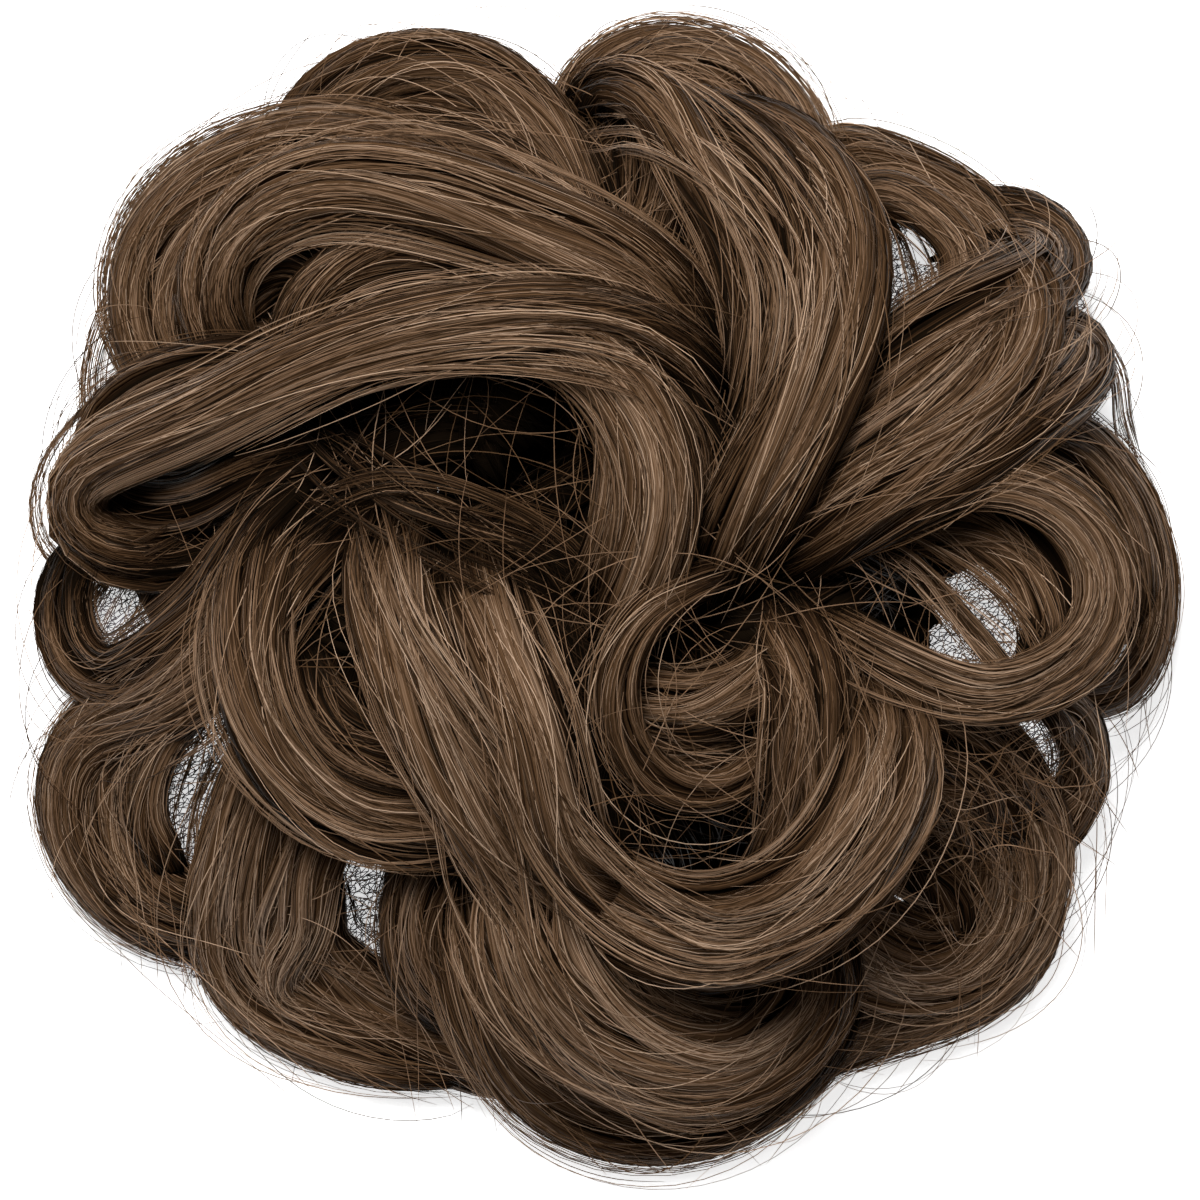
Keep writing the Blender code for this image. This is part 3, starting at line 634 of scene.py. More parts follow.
BUNDLE_SAMPLES = 73
BUNDLE_SMOOTHING = 16
BUNDLE_BODY = 0.97  # a bundle's imported body, as a share of where its strands lie
# Painted shade: hair is drawn darker near its lock's ends, where it goes in under other hair.
END_PAINTED_SHADE = 0.58  # how much darker hair is at its lock's ends
END_PAINTED_SHADE_LENGTH = 0.27
BUNDLE_STRIDE = 3  # every third sample of a bundle's path goes into its mesh
HIDDEN_STRIDE = 8
BUNDLE_CORNERS = 6
BUNDLE_SEAT = 0.76  # how far a bundle lies from the lock's centre, as a share of the lock's half width
BUNDLE_STEP = 2.1  # millimetres round the lock for each bundle
BUNDLE_TIP = 0.12  # the share of a bundle's length in which it thins to its ends
BUNDLE_SIZE = 2.3 * MM
BUNDLE_SIZES = (0.7, 1.3)
BUNDLE_THICKNESS = 0.46
BUNDLE_SLIDE = 0.42  # radians that a bundle slides round the lock
BUNDLE_DRIFT = 0.12
BUNDLE_LIMIT = 0.62  # a bundle's half width is at most this share of its lock's half depth
BUNDLE_END = 0.25  # a bundle's size at its ends, as a share
BUNDLE_TONES = 0.07  # how much bundles differ in shade
LOCK_TWIST = 1.0  # the most radians that a lock's bundles twist from end to end
CORE_SHARE = 0.62  # the core's width, as a share of the lock's
CORE_CORNERS = 8
# The core is drawn darker than its lock: painted shade deep inside it.
CORE_PAINTED_SHADE = -0.2
STRANDS_UNDER = 0.3  # how many strands the side that faces down has, as a share of the top's
STRAND_SPAN = 1.2  # radians to each side of a bundle's outer side
STRAND_TURN = radians(15)  # how far a lock turns for each point of a strand
STRAND_POINTS = (8, 32)  # the fewest and the most
STRAND_ROLL = 0.5  # the most radians that a strand is turned round its own length
STRAND_WIDTHS = (0.65, 1.2)  # shares of the strand width setting
STRAND_SLIDE = 0.24
# Painted shade: hair is drawn darker on the sides of its lock than on its top.
SIDE_PAINTED_SHADE = 0.22  # how much darker hair is on the sides of its lock than on its top
SIDE_PAINTED_SHADE_REACH = (52 * MM, 76 * MM)  # where that fades out towards the rim
STRAND_LIFT = 0.07 * MM  # how far strands lie off their bundle, on average
FRAY = 1.6 * MM  # how far strands spread at their lock's ends
FRAY_LENGTH = 0.14

Bundles = namedtuple("Bundles", "paths facing size share tone")


def smoothed(paths, times):
    """Paths with the kinks on the inner side of a bend taken out; their ends stay."""
    for _ in range(times):
        paths[:, 1:-1] = (paths[:, :-2] + 2 * paths[:, 1:-1] + paths[:, 2:]) / 4
    return paths


def painted_end_shade(share):
    """Painted shade: how much darker hair is towards the ends of its lock, where it goes in under other
    hair.
    """
    return END_PAINTED_SHADE * (1 - np.clip(np.minimum(share, 1 - share) / END_PAINTED_SHADE_LENGTH, 0, 1)) ** 1.5


def painted_side_shade(paths, facing):
    """Painted shade: how much darker hair is on the sides of its lock, away from the rim, where no light
    comes in.
    """
    start, stop = SIDE_PAINTED_SHADE_REACH
    inside = np.clip((stop - np.linalg.norm(paths[..., :2], axis=-1)) / (stop - start), 0, 1)
    return SIDE_PAINTED_SHADE * inside * (1 - facing[..., 2])


def wave(share, rng, low, high):
    """A slow sine along each strand, with its own pitch and start."""
    count = len(share)
    return np.sin(2 * pi * (rng.uniform(low, high, (count, 1)) * share + rng.uniform(0, 1, (count, 1))))


def lock_bundles(lock, shape, rng):
    """Where a lock's bundles run, round its core."""
    half_width, half_depth = lock.width * MM / 2, lock.depth * MM / 2
    count = max(5, round(pi * (lock.width + lock.depth) / 2 * BUNDLE_SEAT / BUNDLE_STEP))
    begin, end = rng.uniform(0, 0.04, (count, 1)), rng.uniform(0.95, 1, (count, 1))
    share = begin + (end - begin) * np.linspace(0, 1, BUNDLE_SAMPLES)
    seat = 2 * pi * (np.arange(count) + rng.uniform(-0.3, 0.3, count)) / count
    angle = seat[:, None] + BUNDLE_SLIDE * wave(share, rng, 0.4, 1.0)
    angle = (angle + rng.uniform(-LOCK_TWIST, LOCK_TWIST) * (share - 0.5))[..., None]
    reach = (BUNDLE_SEAT + BUNDLE_DRIFT * wave(share, rng, 0.5, 1.3))[..., None]
    centre, side, up, spread = read_frame(shape, share)
    facing = unit(side * half_depth * np.cos(angle) + up * half_width * np.sin(angle))
    offset = side * half_width * np.cos(angle) + up * half_depth * np.sin(angle)
    size = np.minimum(BUNDLE_SIZE * rng.uniform(*BUNDLE_SIZES, (count, 1)), half_depth * BUNDLE_LIMIT)
    near_end = np.clip(np.minimum(share, 1 - share) / BUNDLE_TIP, 0, 1)
    size = size * (BUNDLE_END + (1 - BUNDLE_END) * np.sin(near_end * pi / 2))
    paths = smoothed(centre + spread * reach * offset, BUNDLE_SMOOTHING)
    return Bundles(paths, facing, size * spread[..., 0], share, rng.normal(0, BUNDLE_TONES, count))


def strand_points(shape):
    """How many points a strand has: more where its lock turns more."""
    return int(np.clip(shape.turning / STRAND_TURN + 5, *STRAND_POINTS))


def bundle_strands(bundles, count, points, rng):
    """Strands on the outer side of their bundles, most of them on the bundles that face up."""
    upward = np.clip(bundles.facing[..., 2].mean(axis=1) + 0.4, 0, 1)
    weight = STRANDS_UNDER + (1 - STRANDS_UNDER) * upward
    own = rng.choice(len(weight), count, p=weight / weight.sum())
    begin, end = rng.uniform(0, 0.09, (count, 1)), rng.uniform(0.9, 1, (count, 1))
    share = begin + (end - begin) * np.linspace(0, 1, points)
    place = share * (BUNDLE_SAMPLES - 1)
    low = np.minimum(place.astype(int), BUNDLE_SAMPLES - 2)
    t = (place - low)[..., None]
    paths, facing, size = (
        table[own[:, None], low] * (1 - t) + table[own[:, None], low + 1] * t
        for table in (bundles.paths, bundles.facing, bundles.size[..., None]))
    _, across, out = path_frame(paths, facing)
    angle = rng.uniform(-STRAND_SPAN, STRAND_SPAN, (count, 1))
    angle = (angle + STRAND_SLIDE * wave(share, rng, 0.4, 1.2))[..., None]
    outward = out * np.cos(angle) + across * np.sin(angle)
    ripple = 1 + 0.04 * wave(share, rng, 0.8, 2.2)[..., None]
    reach = size * ripple + rng.exponential(STRAND_LIFT, (count, 1, 1))
    near_end = np.clip(np.minimum(share, 1 - share) / FRAY_LENGTH, 0, 1)
    fray = rng.normal(0, FRAY, (count, 1, 3)) * ((1 - near_end) ** 2)[..., None]
    paths = paths + reach * (out * np.cos(angle) * BUNDLE_THICKNESS + across * np.sin(angle)) + fray
    # Painted shade: strands on the sides of their lock are darker.
    return paths, outward, share, bundles.tone[own][:, None] - painted_side_shade(paths, facing)


# Strands that leave a lock: wisps that run beside its edge, and single ones that bow over it.

WISP_BULGE = 0.13  # as a share of the lock's width
WISP_LIMIT = 2.4 * MM
WISP_SPREAD = 0.6 * MM  # how far the strands of a wisp lie apart
WISP_SEAT = 0.86  # where a wisp lies, as a share of the lock's half width
WISP_RISE = 0.15  # how far it lies above or below the edge, as a share of the lock's depth
LOOSE_LIFT = 1.4 * MM  # how far loose strands bow over their lock, and sway across it
LOOSE_SWAY = 2.4 * MM
LOOSE_TONE = 0.12  # how much lighter they are, as more light reaches them
VEIL_CLUMP = 1.1  # millimetres across a veil for each clump of strands
VEIL_SPREAD = 0.32 * MM
VEIL_TONE = 0.08


def edge_wisps(lock, shape, count, points, rng):
    """Tufts that run beside a lock's edges and bow away from them."""
    tufts = max(3, round(lock.width / 2.5))
    tuft = rng.integers(0, tufts, count)
    begin, end = rng.uniform(0, 0.22, (tufts, 1)), rng.uniform(0.78, 1, (tufts, 1))
    inside = np.linspace(0, 1, points)
    share = begin[tuft] + (end - begin)[tuft] * inside + rng.normal(0, 0.02, (count, 1))
    bulge = np.abs(rng.normal(0, WISP_BULGE * lock.width * MM, (tufts, 1)))
    bulge = np.minimum(bulge, WISP_LIMIT)[tuft] + rng.normal(0, WISP_SPREAD, (count, 1))
    sign = rng.choice((-1.0, 1.0), (tufts, 1))[tuft]
    centre, side, up, spread = read_frame(shape, share)
    edge = WISP_SEAT * lock.width * MM / 2 * spread[..., 0]
    across = sign * (edge + bulge * np.sin(pi * inside) ** 0.8)
    above = WISP_RISE * lock.depth * MM * rng.normal(0, 1, (tufts, 1))[tuft]
    above = above + rng.normal(0, WISP_SPREAD, (count, 1))
    paths = smoothed(centre + side * across[..., None] + up * above[..., None], 3)
    return paths, up, share, 0.0


def loose_strands(lock, shape, count, points, rng):
    """Single strands that bow over a lock and sway across it."""
    begin = rng.uniform(0, 0.45, (count, 1))
    end = np.minimum(begin + rng.uniform(0.3, 0.7, (count, 1)), 1)
    inside = np.linspace(0, 1, points)
    share = begin + (end - begin) * inside
    centre, side, up, spread = read_frame(shape, share)
    u = rng.uniform(-1, 1, (count, 1)) + 0.5 * wave(inside[None].repeat(count, 0), rng, 0.3, 0.7)
    v = np.sqrt(np.clip(1 - u ** 2, 0, 1))
    lift = rng.exponential(LOOSE_LIFT, (count, 1)) * np.sin(pi * inside) ** 1.2
    sway = rng.normal(0, LOOSE_SWAY, (count, 1))
    sway = sway * np.sin(pi * inside * rng.uniform(0.5, 1.0, (count, 1)))
    across = lock.width * MM / 2 * u * spread[..., 0] + sway
    above = lock.depth * MM / 2 * v * spread[..., 0] + lift
    paths = smoothed(centre + side * across[..., None] + up * above[..., None], 3)
    return paths, up, share, LOOSE_TONE


def veil_strands(lock, shape, count, points, rng):
    """A thin sheet of strands in clumps across a lock's width."""
    clumps = max(4, round(lock.width / VEIL_CLUMP))
    clump = rng.integers(0, clumps, count)
    begin, end = rng.uniform(0, 0.2, (clumps, 1)), rng.uniform(0.8, 1, (clumps, 1))
    inside = np.linspace(0, 1, points)
    share = begin[clump] + (end - begin)[clump] * inside + rng.normal(0, 0.03, (count, 1))
    centre, side, up, spread = read_frame(shape, share)
    across = rng.uniform(-1, 1, (clumps, 1)) + 0.25 * wave(inside[None].repeat(clumps, 0), rng, 0.4, 1.0)
    across = lock.width * MM / 2 * across[clump] * spread[..., 0]
    across = across + rng.normal(0, VEIL_SPREAD, (count, 1))
    above = lock.depth * MM / 4 * rng.normal(0, 1, (clumps, 1))[clump]
    above = above + rng.normal(0, VEIL_SPREAD, (count, 1))
    return centre + side * across[..., None] + up * above[..., None], up, share, VEIL_TONE


def add_strands(strands, grown, lock, hair, rng):
    """Gives grown strands their tone and width and adds them to a mesh."""
    paths, facing, share, tone = grown
    number = len(paths)
    # The strands' tone is lowered by painted shade towards their lock's ends.
    tone = 0.5 + lock.tone + tone + rng.normal(0, hair.tone_spread, (number, 1)) - painted_end_shade(share)
    width = hair.strand_width * rng.uniform(*STRAND_WIDTHS, number)
    paths[..., 2] = np.maximum(paths[..., 2], FLOOR_GAP)
    roll = rng.uniform(-STRAND_ROLL, STRAND_ROLL, number)
    strands.add(flat_rings(paths, facing, width, roll), tone, False)


def grow_lock(lock, rng, hair, density, stride, strands, bundles_mesh):
    """Adds a lock's bundles and core to one mesh and its strands to another."""
    shape = lock_frame(lock.route)
    bundles = lock_bundles(lock, shape, rng)
    step = slice(None, None, stride)
    paths, facing, size = (table[:, step] for table in (bundles.paths, bundles.facing, bundles.size))
    rings = round_rings(paths, facing, size * BUNDLE_BODY, BUNDLE_CORNERS, BUNDLE_THICKNESS)
    # Painted shade: bundles are darker towards their lock's ends and on its sides.
    shade = painted_end_shade(bundles.share[:, step]) + painted_side_shade(paths, facing)
    bundles_mesh.add(rings, lock.tone + bundles.tone[:, None] - shade, True)
    centre, _, up, spread = read_frame(shape, np.linspace(0.02, 0.98, BUNDLE_SAMPLES // stride)[None])
    core_size = spread[..., 0] * lock.width * MM / 2 * CORE_SHARE
    core = round_rings(centre, up, core_size, CORE_CORNERS, lock.depth / lock.width)
    # The core's darker tone is painted shade.
    bundles_mesh.add(core, [lock.tone + CORE_PAINTED_SHADE], True)
    points = strand_points(shape)
    count = round(lock.width * hair.strands_across * density)
    wisps, loose = (max(3, round(count * share)) for share in (hair.wisp_share, hair.loose_share))
    for grown in (bundle_strands(bundles, count, points, rng),
                  edge_wisps(lock, shape, wisps, points, rng),
                  loose_strands(lock, shape, loose, points, rng)):
        add_strands(strands, grown, lock, hair, rng)


# The weft ring with hair laid round it.

RING_ANGLES = 96
RING_STRANDS = 560
RING_STRAND_POINTS = 15
RING_SWIRL = 1.1
RING_LIFT = 0.9 * MM
RING_STRAND_TONE = 0.15
RING_STRAND_TONES = 0.1  # how much they differ in shade
RING_STRAND_WIDTHS = (0.8, 1.5)  # shares of the strand width setting
RING_GAP = 0.1 * MM  # the least that they lie off the ring and off the floor
# Painted shade: the weft ring's body is drawn very dark under the hair.
RING_PAINTED_SHADE = -0.5
# The lower strands across the hollow are darker: painted shade deep in it.
HOLLOW_STRANDS = ((110, (5, 30), 0.12), (26, (30, 44), 0.42))  # how many, how high, and their tone
HOLLOW_STRAND_TONES = 0.1
HOLLOW_STRAND_POINTS = 11
HOLLOW_STRAND_REACHES = (12, 22)  # this and the next three are in millimetres
HOLLOW_STRAND_OFF = 9
HOLLOW_STRAND_BOW = 5
HOLLOW_STRAND_SAG = 2.5


def ring_point(angle, place):
    """The point of the weft ring's section at each angle and row; a row may lie between two."""
    section = ring_section(angle)
    low = np.minimum(place.astype(int), section.shape[-2] - 2)
    t = (place - low)[..., None]
    first = np.take_along_axis(section, low[..., None, None], axis=-2)[..., 0, :]
    second = np.take_along_axis(section, (low + 1)[..., None, None], axis=-2)[..., 0, :]
    return first * (1 - t) + second * t


def ring_strands(count, first_row, last_row, rng):
    """Strands that swirl over the weft ring's surface, from one row of its section to another."""
    inside = np.linspace(0, 1, RING_STRAND_POINTS)
    start = rng.uniform(0, 2 * pi, (count, 1))
    angle = start + rng.normal(0, RING_SWIRL, (count, 1)) * inside
    place = first_row + (last_row - first_row) * inside + np.zeros((count, 1))
    surface = ring_point(angle, place)
    ahead = ring_point(angle, np.minimum(place + 0.3, last_row + 0.3))
    sideways = ring_point(angle + 0.02, place)
    facing = unit(np.cross(sideways - surface, surface - ahead))
    outward = np.sum(facing * (surface - ring_middle(angle)), axis=-1)
    facing = facing * np.sign(outward)[..., None]
    lift = rng.exponential(RING_LIFT, (count, 1)) + RING_GAP
    return surface + facing * lift[..., None], facing


def ring_middle(angle):
    """A point inside the weft ring's section at each angle."""
    return ring_section(angle).mean(axis=-2)


def hollow_strands(count, heights, rng):
    """Single strands that cross the hollow from side to side."""
    inside = np.linspace(-1, 1, HOLLOW_STRAND_POINTS)
    turn = rng.uniform(0, 2 * pi, (count, 1, 1))
    toward = np.concatenate([np.cos(turn), np.sin(turn), 0 * turn], axis=-1)
    aside = np.concatenate([-np.sin(turn), np.cos(turn), 0 * turn], axis=-1)
    reach = rng.uniform(*HOLLOW_STRAND_REACHES, (count, 1, 1)) * MM
    off = rng.normal(0, HOLLOW_STRAND_OFF, (count, 1, 1)) * MM
    bow = rng.normal(0, HOLLOW_STRAND_BOW, (count, 1, 1)) * MM
    height = rng.uniform(*heights, (count, 1, 1)) * MM
    sag = rng.normal(0, HOLLOW_STRAND_SAG, (count, 1, 1)) * MM
    bend = (1 - inside ** 2)[:, None]
    middle = np.array((*HOLLOW_CENTRE, 0.0)) * MM
    across = aside * (off + bow * bend)
    return middle + toward * reach * inside[:, None] + across + UP * (height + sag * bend)


# Strays all over the hairpiece.

FLOOR_GAP = 0.3 * MM
STRAY_LEAVE = 3.5 * MM  # how far outside the locks a stray may go
RIM_STRAYS = 60
RIM_BINS = 72
RIM_STRAY_SPANS = (0.15, 0.6)  # radians round the rim
RIM_STRAY_START = 7 * MM  # how far inside the locks' edge one starts
RIM_STRAY_BULGE = 0.9 * MM
RIM_STRAY_LIMIT = 6 * MM
RIM_STRAY_HEIGHTS = (6, 22)  # this and the next are in millimetres
RIM_STRAY_SLOPE = 3  # how much one rises or falls, on average
STRAY_POINTS = 18
STRAY_WIDTH = 0.11 * MM
STRAY_ROLL = 0.6
STRAY_WIDTHS = (0.7, 1.3)  # shares of that width
STRAY_TONES = 0.14  # how much strays differ in shade
TOP_HEIGHT = 47  # the hill that the top strays lie on, in millimetres
TOP_DROP = 34
TOP_FLAT = 0.25  # the share of the rim's radius over which it stays flat
TOP_STRAYS = 260
TOP_STRAY_REACH = 66 * MM
TOP_STRAY_LENGTHS = (22, 60)
TOP_STRAY_BEND = 0.9
TOP_STRAY_SAG = 5 * MM
TOP_STRAY_LIFT = (-1.5, 2.0)  # how far over the hill, in millimetres: the average and the spread
TOP_STRAYS_OVER_HOLLOW = 0.25  # the share of those over the hollow that stay
LEAVING_STRANDS = 14  # for each lock
LEAVING_LENGTHS = (14, 42)
LEAVING_STARTS = (0.05, 0.85)  # shares of the lock's length
LEAVING_TURNS = (0.2, 1.0)  # how much of its lock's bend a strand follows
LEAVING_SPREAD = 0.14  # radians that it leaves its lock at, on average
LEAVING_SEAT = 0.45  # how far from the lock's middle it may start, as a share of the lock's width
LEAVING_LIFT = 0.8  # how far over the lock it lies, on average, in millimetres
FRIZZ_STRANDS = 220
FRIZZ_CENTRE = (50.0, -29.0)
FRIZZ_SPREAD = (6.5, 6.0)
FRIZZ_HEIGHT = (14.0, 30.0)
FRIZZ_CRIMP = 0.16
FRIZZ_WAVES = (1, 2.5)
FRIZZ_LENGTHS = (8, 17)


def rim_reach():
    """How far the locks reach from the middle in each direction, in metres."""
    reach = np.zeros(RIM_BINS)
    for lock in OUTER_LOCKS:
        centre = lock_frame(lock.route).centre
        away = np.linalg.norm(centre[:, :2], axis=1) + lock.width * MM / 2
        place = (np.arctan2(centre[:, 1], centre[:, 0]) / (2 * pi) * RIM_BINS).astype(int) % RIM_BINS
        np.maximum.at(reach, place, away)
    return np.maximum(reach, (np.roll(reach, 1) + np.roll(reach, -1)) / 2)


def rim_distance(plan):
    """How far outside the locks each place is, in metres."""
    place = np.arctan2(plan[..., 1], plan[..., 0]) % (2 * pi) / (2 * pi) * RIM_BINS
    reach = rim_reach()
    edge = np.interp(place, np.arange(RIM_BINS + 1), np.append(reach, reach[0]))
    return np.linalg.norm(plan, axis=-1) - edge


def rim_strays(count, rng):
    """Strands that leave the rim, run round beside it and come back."""
    reach = rim_reach()
    inside = np.linspace(0, 1, STRAY_POINTS)
    span = rng.uniform(*RIM_STRAY_SPANS, (count, 1))
    angle = rng.uniform(0, 2 * pi, (count, 1)) + span * (inside - 0.5)
    bins = angle / (2 * pi) * RIM_BINS
    along_rim = np.interp(bins.ravel() % RIM_BINS, np.arange(RIM_BINS + 1), np.append(reach, reach[0]))
    along_rim = along_rim.reshape(angle.shape).mean(axis=1, keepdims=True)
    bulge = np.minimum(rng.exponential(RIM_STRAY_BULGE, (count, 1)), RIM_STRAY_LIMIT)
    away = along_rim - RIM_STRAY_START + (RIM_STRAY_START + bulge) * np.sin(pi * inside) ** 0.7
    height = rng.uniform(*RIM_STRAY_HEIGHTS, (count, 1)) * MM
    height = height + rng.normal(0, RIM_STRAY_SLOPE, (count, 1)) * MM * inside
    return np.stack([away * np.cos(angle), away * np.sin(angle), height], axis=-1)


def top_height(plan):
    """How high the hair stands at a place: a smooth hill that falls off to the rim."""
    away = np.linalg.norm(plan, axis=-1) / (RIM_RADIUS * MM)
    return (TOP_HEIGHT - TOP_DROP * np.clip(away - TOP_FLAT, 0, 1) ** 1.3 / 0.6) * MM


def top_strays(count, rng):
    """Long single strands that lie over the locks in wide arcs."""
    inside = np.linspace(-0.5, 0.5, STRAY_POINTS)
    turn = rng.uniform(0, 2 * pi, (count, 1))
    away = TOP_STRAY_REACH * np.sqrt(rng.uniform(0, 1, (count, 1)))
    heading = rng.uniform(0, 2 * pi, (count, 1))
    length = rng.uniform(*TOP_STRAY_LENGTHS, (count, 1)) * MM
    bend = rng.normal(0, TOP_STRAY_BEND, (count, 1)) * inside
    x = away * np.cos(turn) + length * inside * np.cos(heading + bend)
    y = away * np.sin(turn) + length * inside * np.sin(heading + bend)
    plan = np.stack([x, y], axis=-1)
    lift = rng.normal(*TOP_STRAY_LIFT, (count, 1)) * MM - TOP_STRAY_SAG * (2 * inside) ** 2
    paths = np.concatenate([plan, (top_height(plan) + lift)[..., None]], axis=-1)
    from_hollow = np.linalg.norm(plan[:, STRAY_POINTS // 2] / MM - HOLLOW_CENTRE, axis=-1)
    stays = rng.uniform(0, 1, count) < TOP_STRAYS_OVER_HOLLOW
    return paths[(from_hollow > HOLLOW_MOUTH_RADIUS) | stays]


def leaving_strands(count, rng):
    """Strands that run with their lock, then bend less than it does and leave it over its neighbours."""
    grown = []
    inside = np.linspace(0, 1, STRAY_POINTS)
    for lock in OUTER_LOCKS:
        shape = lock_frame(lock.route)
        length = rng.uniform(*LEAVING_LENGTHS, (count, 1)) * MM
        share = rng.uniform(*LEAVING_STARTS, (count, 1)) + length / shape.length * inside
        centre, side, up, _ = read_frame(shape, share)
        along = np.cross(up, side)
        heading = np.unwrap(np.arctan2(along[..., 1], along[..., 0]), axis=1)
        heading = heading[:, :1] + rng.uniform(*LEAVING_TURNS, (count, 1)) * (heading - heading[:, :1])
        heading = heading + rng.normal(0, LEAVING_SPREAD, (count, 1))
        step = np.stack([np.cos(heading), np.sin(heading)], axis=-1) * (length / STRAY_POINTS)[..., None]
        off = rng.uniform(-LEAVING_SEAT, LEAVING_SEAT, (count, 1, 1)) * lock.width * MM
        start = centre[:, :1, :2] + side[:, :1, :2] * off
        height = centre[..., 2] + lock.depth * MM / 2 + rng.exponential(LEAVING_LIFT, (count, 1)) * MM
        grown.append(np.concatenate([start + np.cumsum(step, axis=1), height[..., None]], axis=-1))
    return np.concatenate(grown)


def frizz_strands(count, rng):
    """A tangle of crimped strands at the lower right."""
    inside = np.linspace(0, 1, STRAY_POINTS)
    start = np.array(FRIZZ_CENTRE) + rng.normal(0, 1, (count, 1, 2)) * FRIZZ_SPREAD
    heading = rng.uniform(0, 2 * pi, (count, 1)) + rng.normal(0, 0.8, (count, 1)) * inside
    heading = heading + FRIZZ_CRIMP * np.sin(2 * pi * rng.uniform(*FRIZZ_WAVES, (count, 1)) * inside)
    length = rng.uniform(*FRIZZ_LENGTHS, (count, 1)) / STRAY_POINTS
    walked = np.cumsum(np.stack([np.cos(heading), np.sin(heading)], axis=-1) * length[..., None], axis=1)
    height = rng.uniform(*FRIZZ_HEIGHT, (count, 1)) + 3 * np.sin(pi * inside)
    return np.concatenate([start + walked, height[..., None]], axis=-1) * MM


def stray_strips(paths, rng):
    """Strays as flat strips that stay above the floor."""
    paths[..., 2] = np.maximum(paths[..., 2], FLOOR_GAP)
    count = len(paths)
    width = STRAY_WIDTH * rng.uniform(*STRAY_WIDTHS, count)
    return flat_rings(paths, UP, width, rng.uniform(-STRAY_ROLL, STRAY_ROLL, count))


# The net, only where it shows between the locks.

NET_STEP = 0.7  # this and the next two are in millimetres
NET_JITTER = 0.16
NET_REACH = 78
NET_THREAD = 0.13 * MM
NET_HEIGHT = 7.0
NET_RIPPLE = 1.6
NET_WHOLE = 0.8  # the share of its threads that show
NET_COVER = 1.6  # how far the net runs in under a lock's edge, in millimetres
NET_INSET = 5.0


def shows_between_locks(plan):
    """True where no lock lies over a place, inside the rim and outside the weft ring."""
    shows = np.linalg.norm(plan - RING_CENTRE, axis=1) > RING_RADIUS - 1
    for lock in OUTER_LOCKS:
        shape = lock_frame(lock.route)
        line = shape.centre[::5, :2] / MM
        near = lock.width / 2 * shape.spread[::5, 0] - NET_COVER
        apart = np.linalg.norm(plan[:, None] - line[None], axis=2)
        shows &= ~np.any(apart < near, axis=1)
    return shows & (rim_distance(plan * MM) < -NET_INSET * MM)


def net_threads(rng):
    """The threads between the knots of an uneven net, as (thread, 2, xyz)."""
    rows = int(NET_REACH / NET_STEP)
    lines = np.arange(-rows, rows + 1)
    grid = np.stack(np.meshgrid(lines, lines, indexing="ij"), axis=-1)
    plan = grid * (NET_STEP, NET_STEP * 0.87)
    plan[..., 0] += NET_STEP / 2 * (grid[..., 1] % 2)
    plan = plan + rng.normal(0, NET_JITTER, plan.shape)
    height = NET_HEIGHT + NET_RIPPLE * np.sin(plan[..., 0] * 0.31) * np.cos(plan[..., 1] * 0.27)
    knots = np.concatenate([plan, height[..., None]], axis=-1)
    threads = []
    for across, along in ((1, 0), (0, 1), (1, 1)):
        start = knots[:knots.shape[0] - across, :knots.shape[1] - along].reshape(-1, 3)
        stop = knots[across:, along:].reshape(-1, 3)
        threads.append(np.stack([start, stop], axis=1))
    threads = np.concatenate(threads)
    threads = threads[rng.uniform(0, 1, len(threads)) < NET_WHOLE]
    return threads[shows_between_locks(threads.mean(axis=1)[:, :2])] * MM


# The covered elastic.

ELASTIC_STEPS = 120
ELASTIC_CORNERS = 22


def elastic_rings():
    """The elastic's rings of points, which meet where they start."""
    turn = np.linspace(0, 2 * pi, ELASTIC_STEPS)
    toward = np.stack([np.cos(turn), np.sin(turn), 0 * turn], axis=-1)
    middle = np.array((*HOLLOW_CENTRE, ELASTIC_HEIGHT)) * MM
    around = 2 * pi * np.arange(ELASTIC_CORNERS) / ELASTIC_CORNERS
    section = toward[:, None] * np.cos(around)[:, None] - UP * np.sin(around)[:, None]
    rings = middle + toward[:, None] * ELASTIC_RING_RADIUS * MM + section * ELASTIC_RADIUS * MM
    return rings[None]


# Materials.

def add_node(tree, kind, inputs=None, **settings):
    """Adds a node; an input given as a socket is linked to it, and any other value is set."""
    node = tree.nodes.new(kind)
    for name, value in settings.items():
        setattr(node, name, value)
    for name, value in (inputs or {}).items():
        if isinstance(value, bpy.types.NodeSocket):
            tree.links.new(value, node.inputs[name])
        else:
            node.inputs[name].default_value = value
    return node


def new_tree(name):
    """A new material, its empty node tree and its output."""
    material = bpy.data.materials.new(name)
    material.use_nodes = True
    tree = material.node_tree
    tree.nodes.clear()
    return material, tree, add_node(tree, "ShaderNodeOutputMaterial")


def colour_ramp(tree, factor, stops):
    """A ramp from (place, linear colour) stops."""
    ramp = add_node(tree, "ShaderNodeValToRGB", {"Fac": factor})
    elements = ramp.color_ramp.elements
    while len(elements) < len(stops):
        elements.new(0.5)
    for element, (place, colour) in zip(elements, stops):
        element.position = place
        element.color = (*colour, 1)
    return ramp.outputs["Color"]


def shaded(tree, base, texture, strength):
    """The base value moved by how far a texture is from its middle."""
    shift = add_node(tree, "ShaderNodeMath", {0: texture, 1: 0.5}, operation="SUBTRACT")
    return add_node(tree, "ShaderNodeMath", {0: shift.outputs[0], 1: strength, 2: base},
                    operation="MULTIPLY_ADD").outputs[0]


def fibre_colour(tree, tone):
    """The fibre's colour from its tone, from 0 for painted shade deep in the hair to 1 for the lightest
    strands.
    """
    hair = bpy.context.scene.hairpiece_hair
    return colour_ramp(tree, tone, (
        (0.0, hair.deep_shade_colour), (0.2, hair.dark_colour), (0.45, hair.middle_colour),
        (0.7, hair.light_colour), (0.98, hair.tip_colour)))


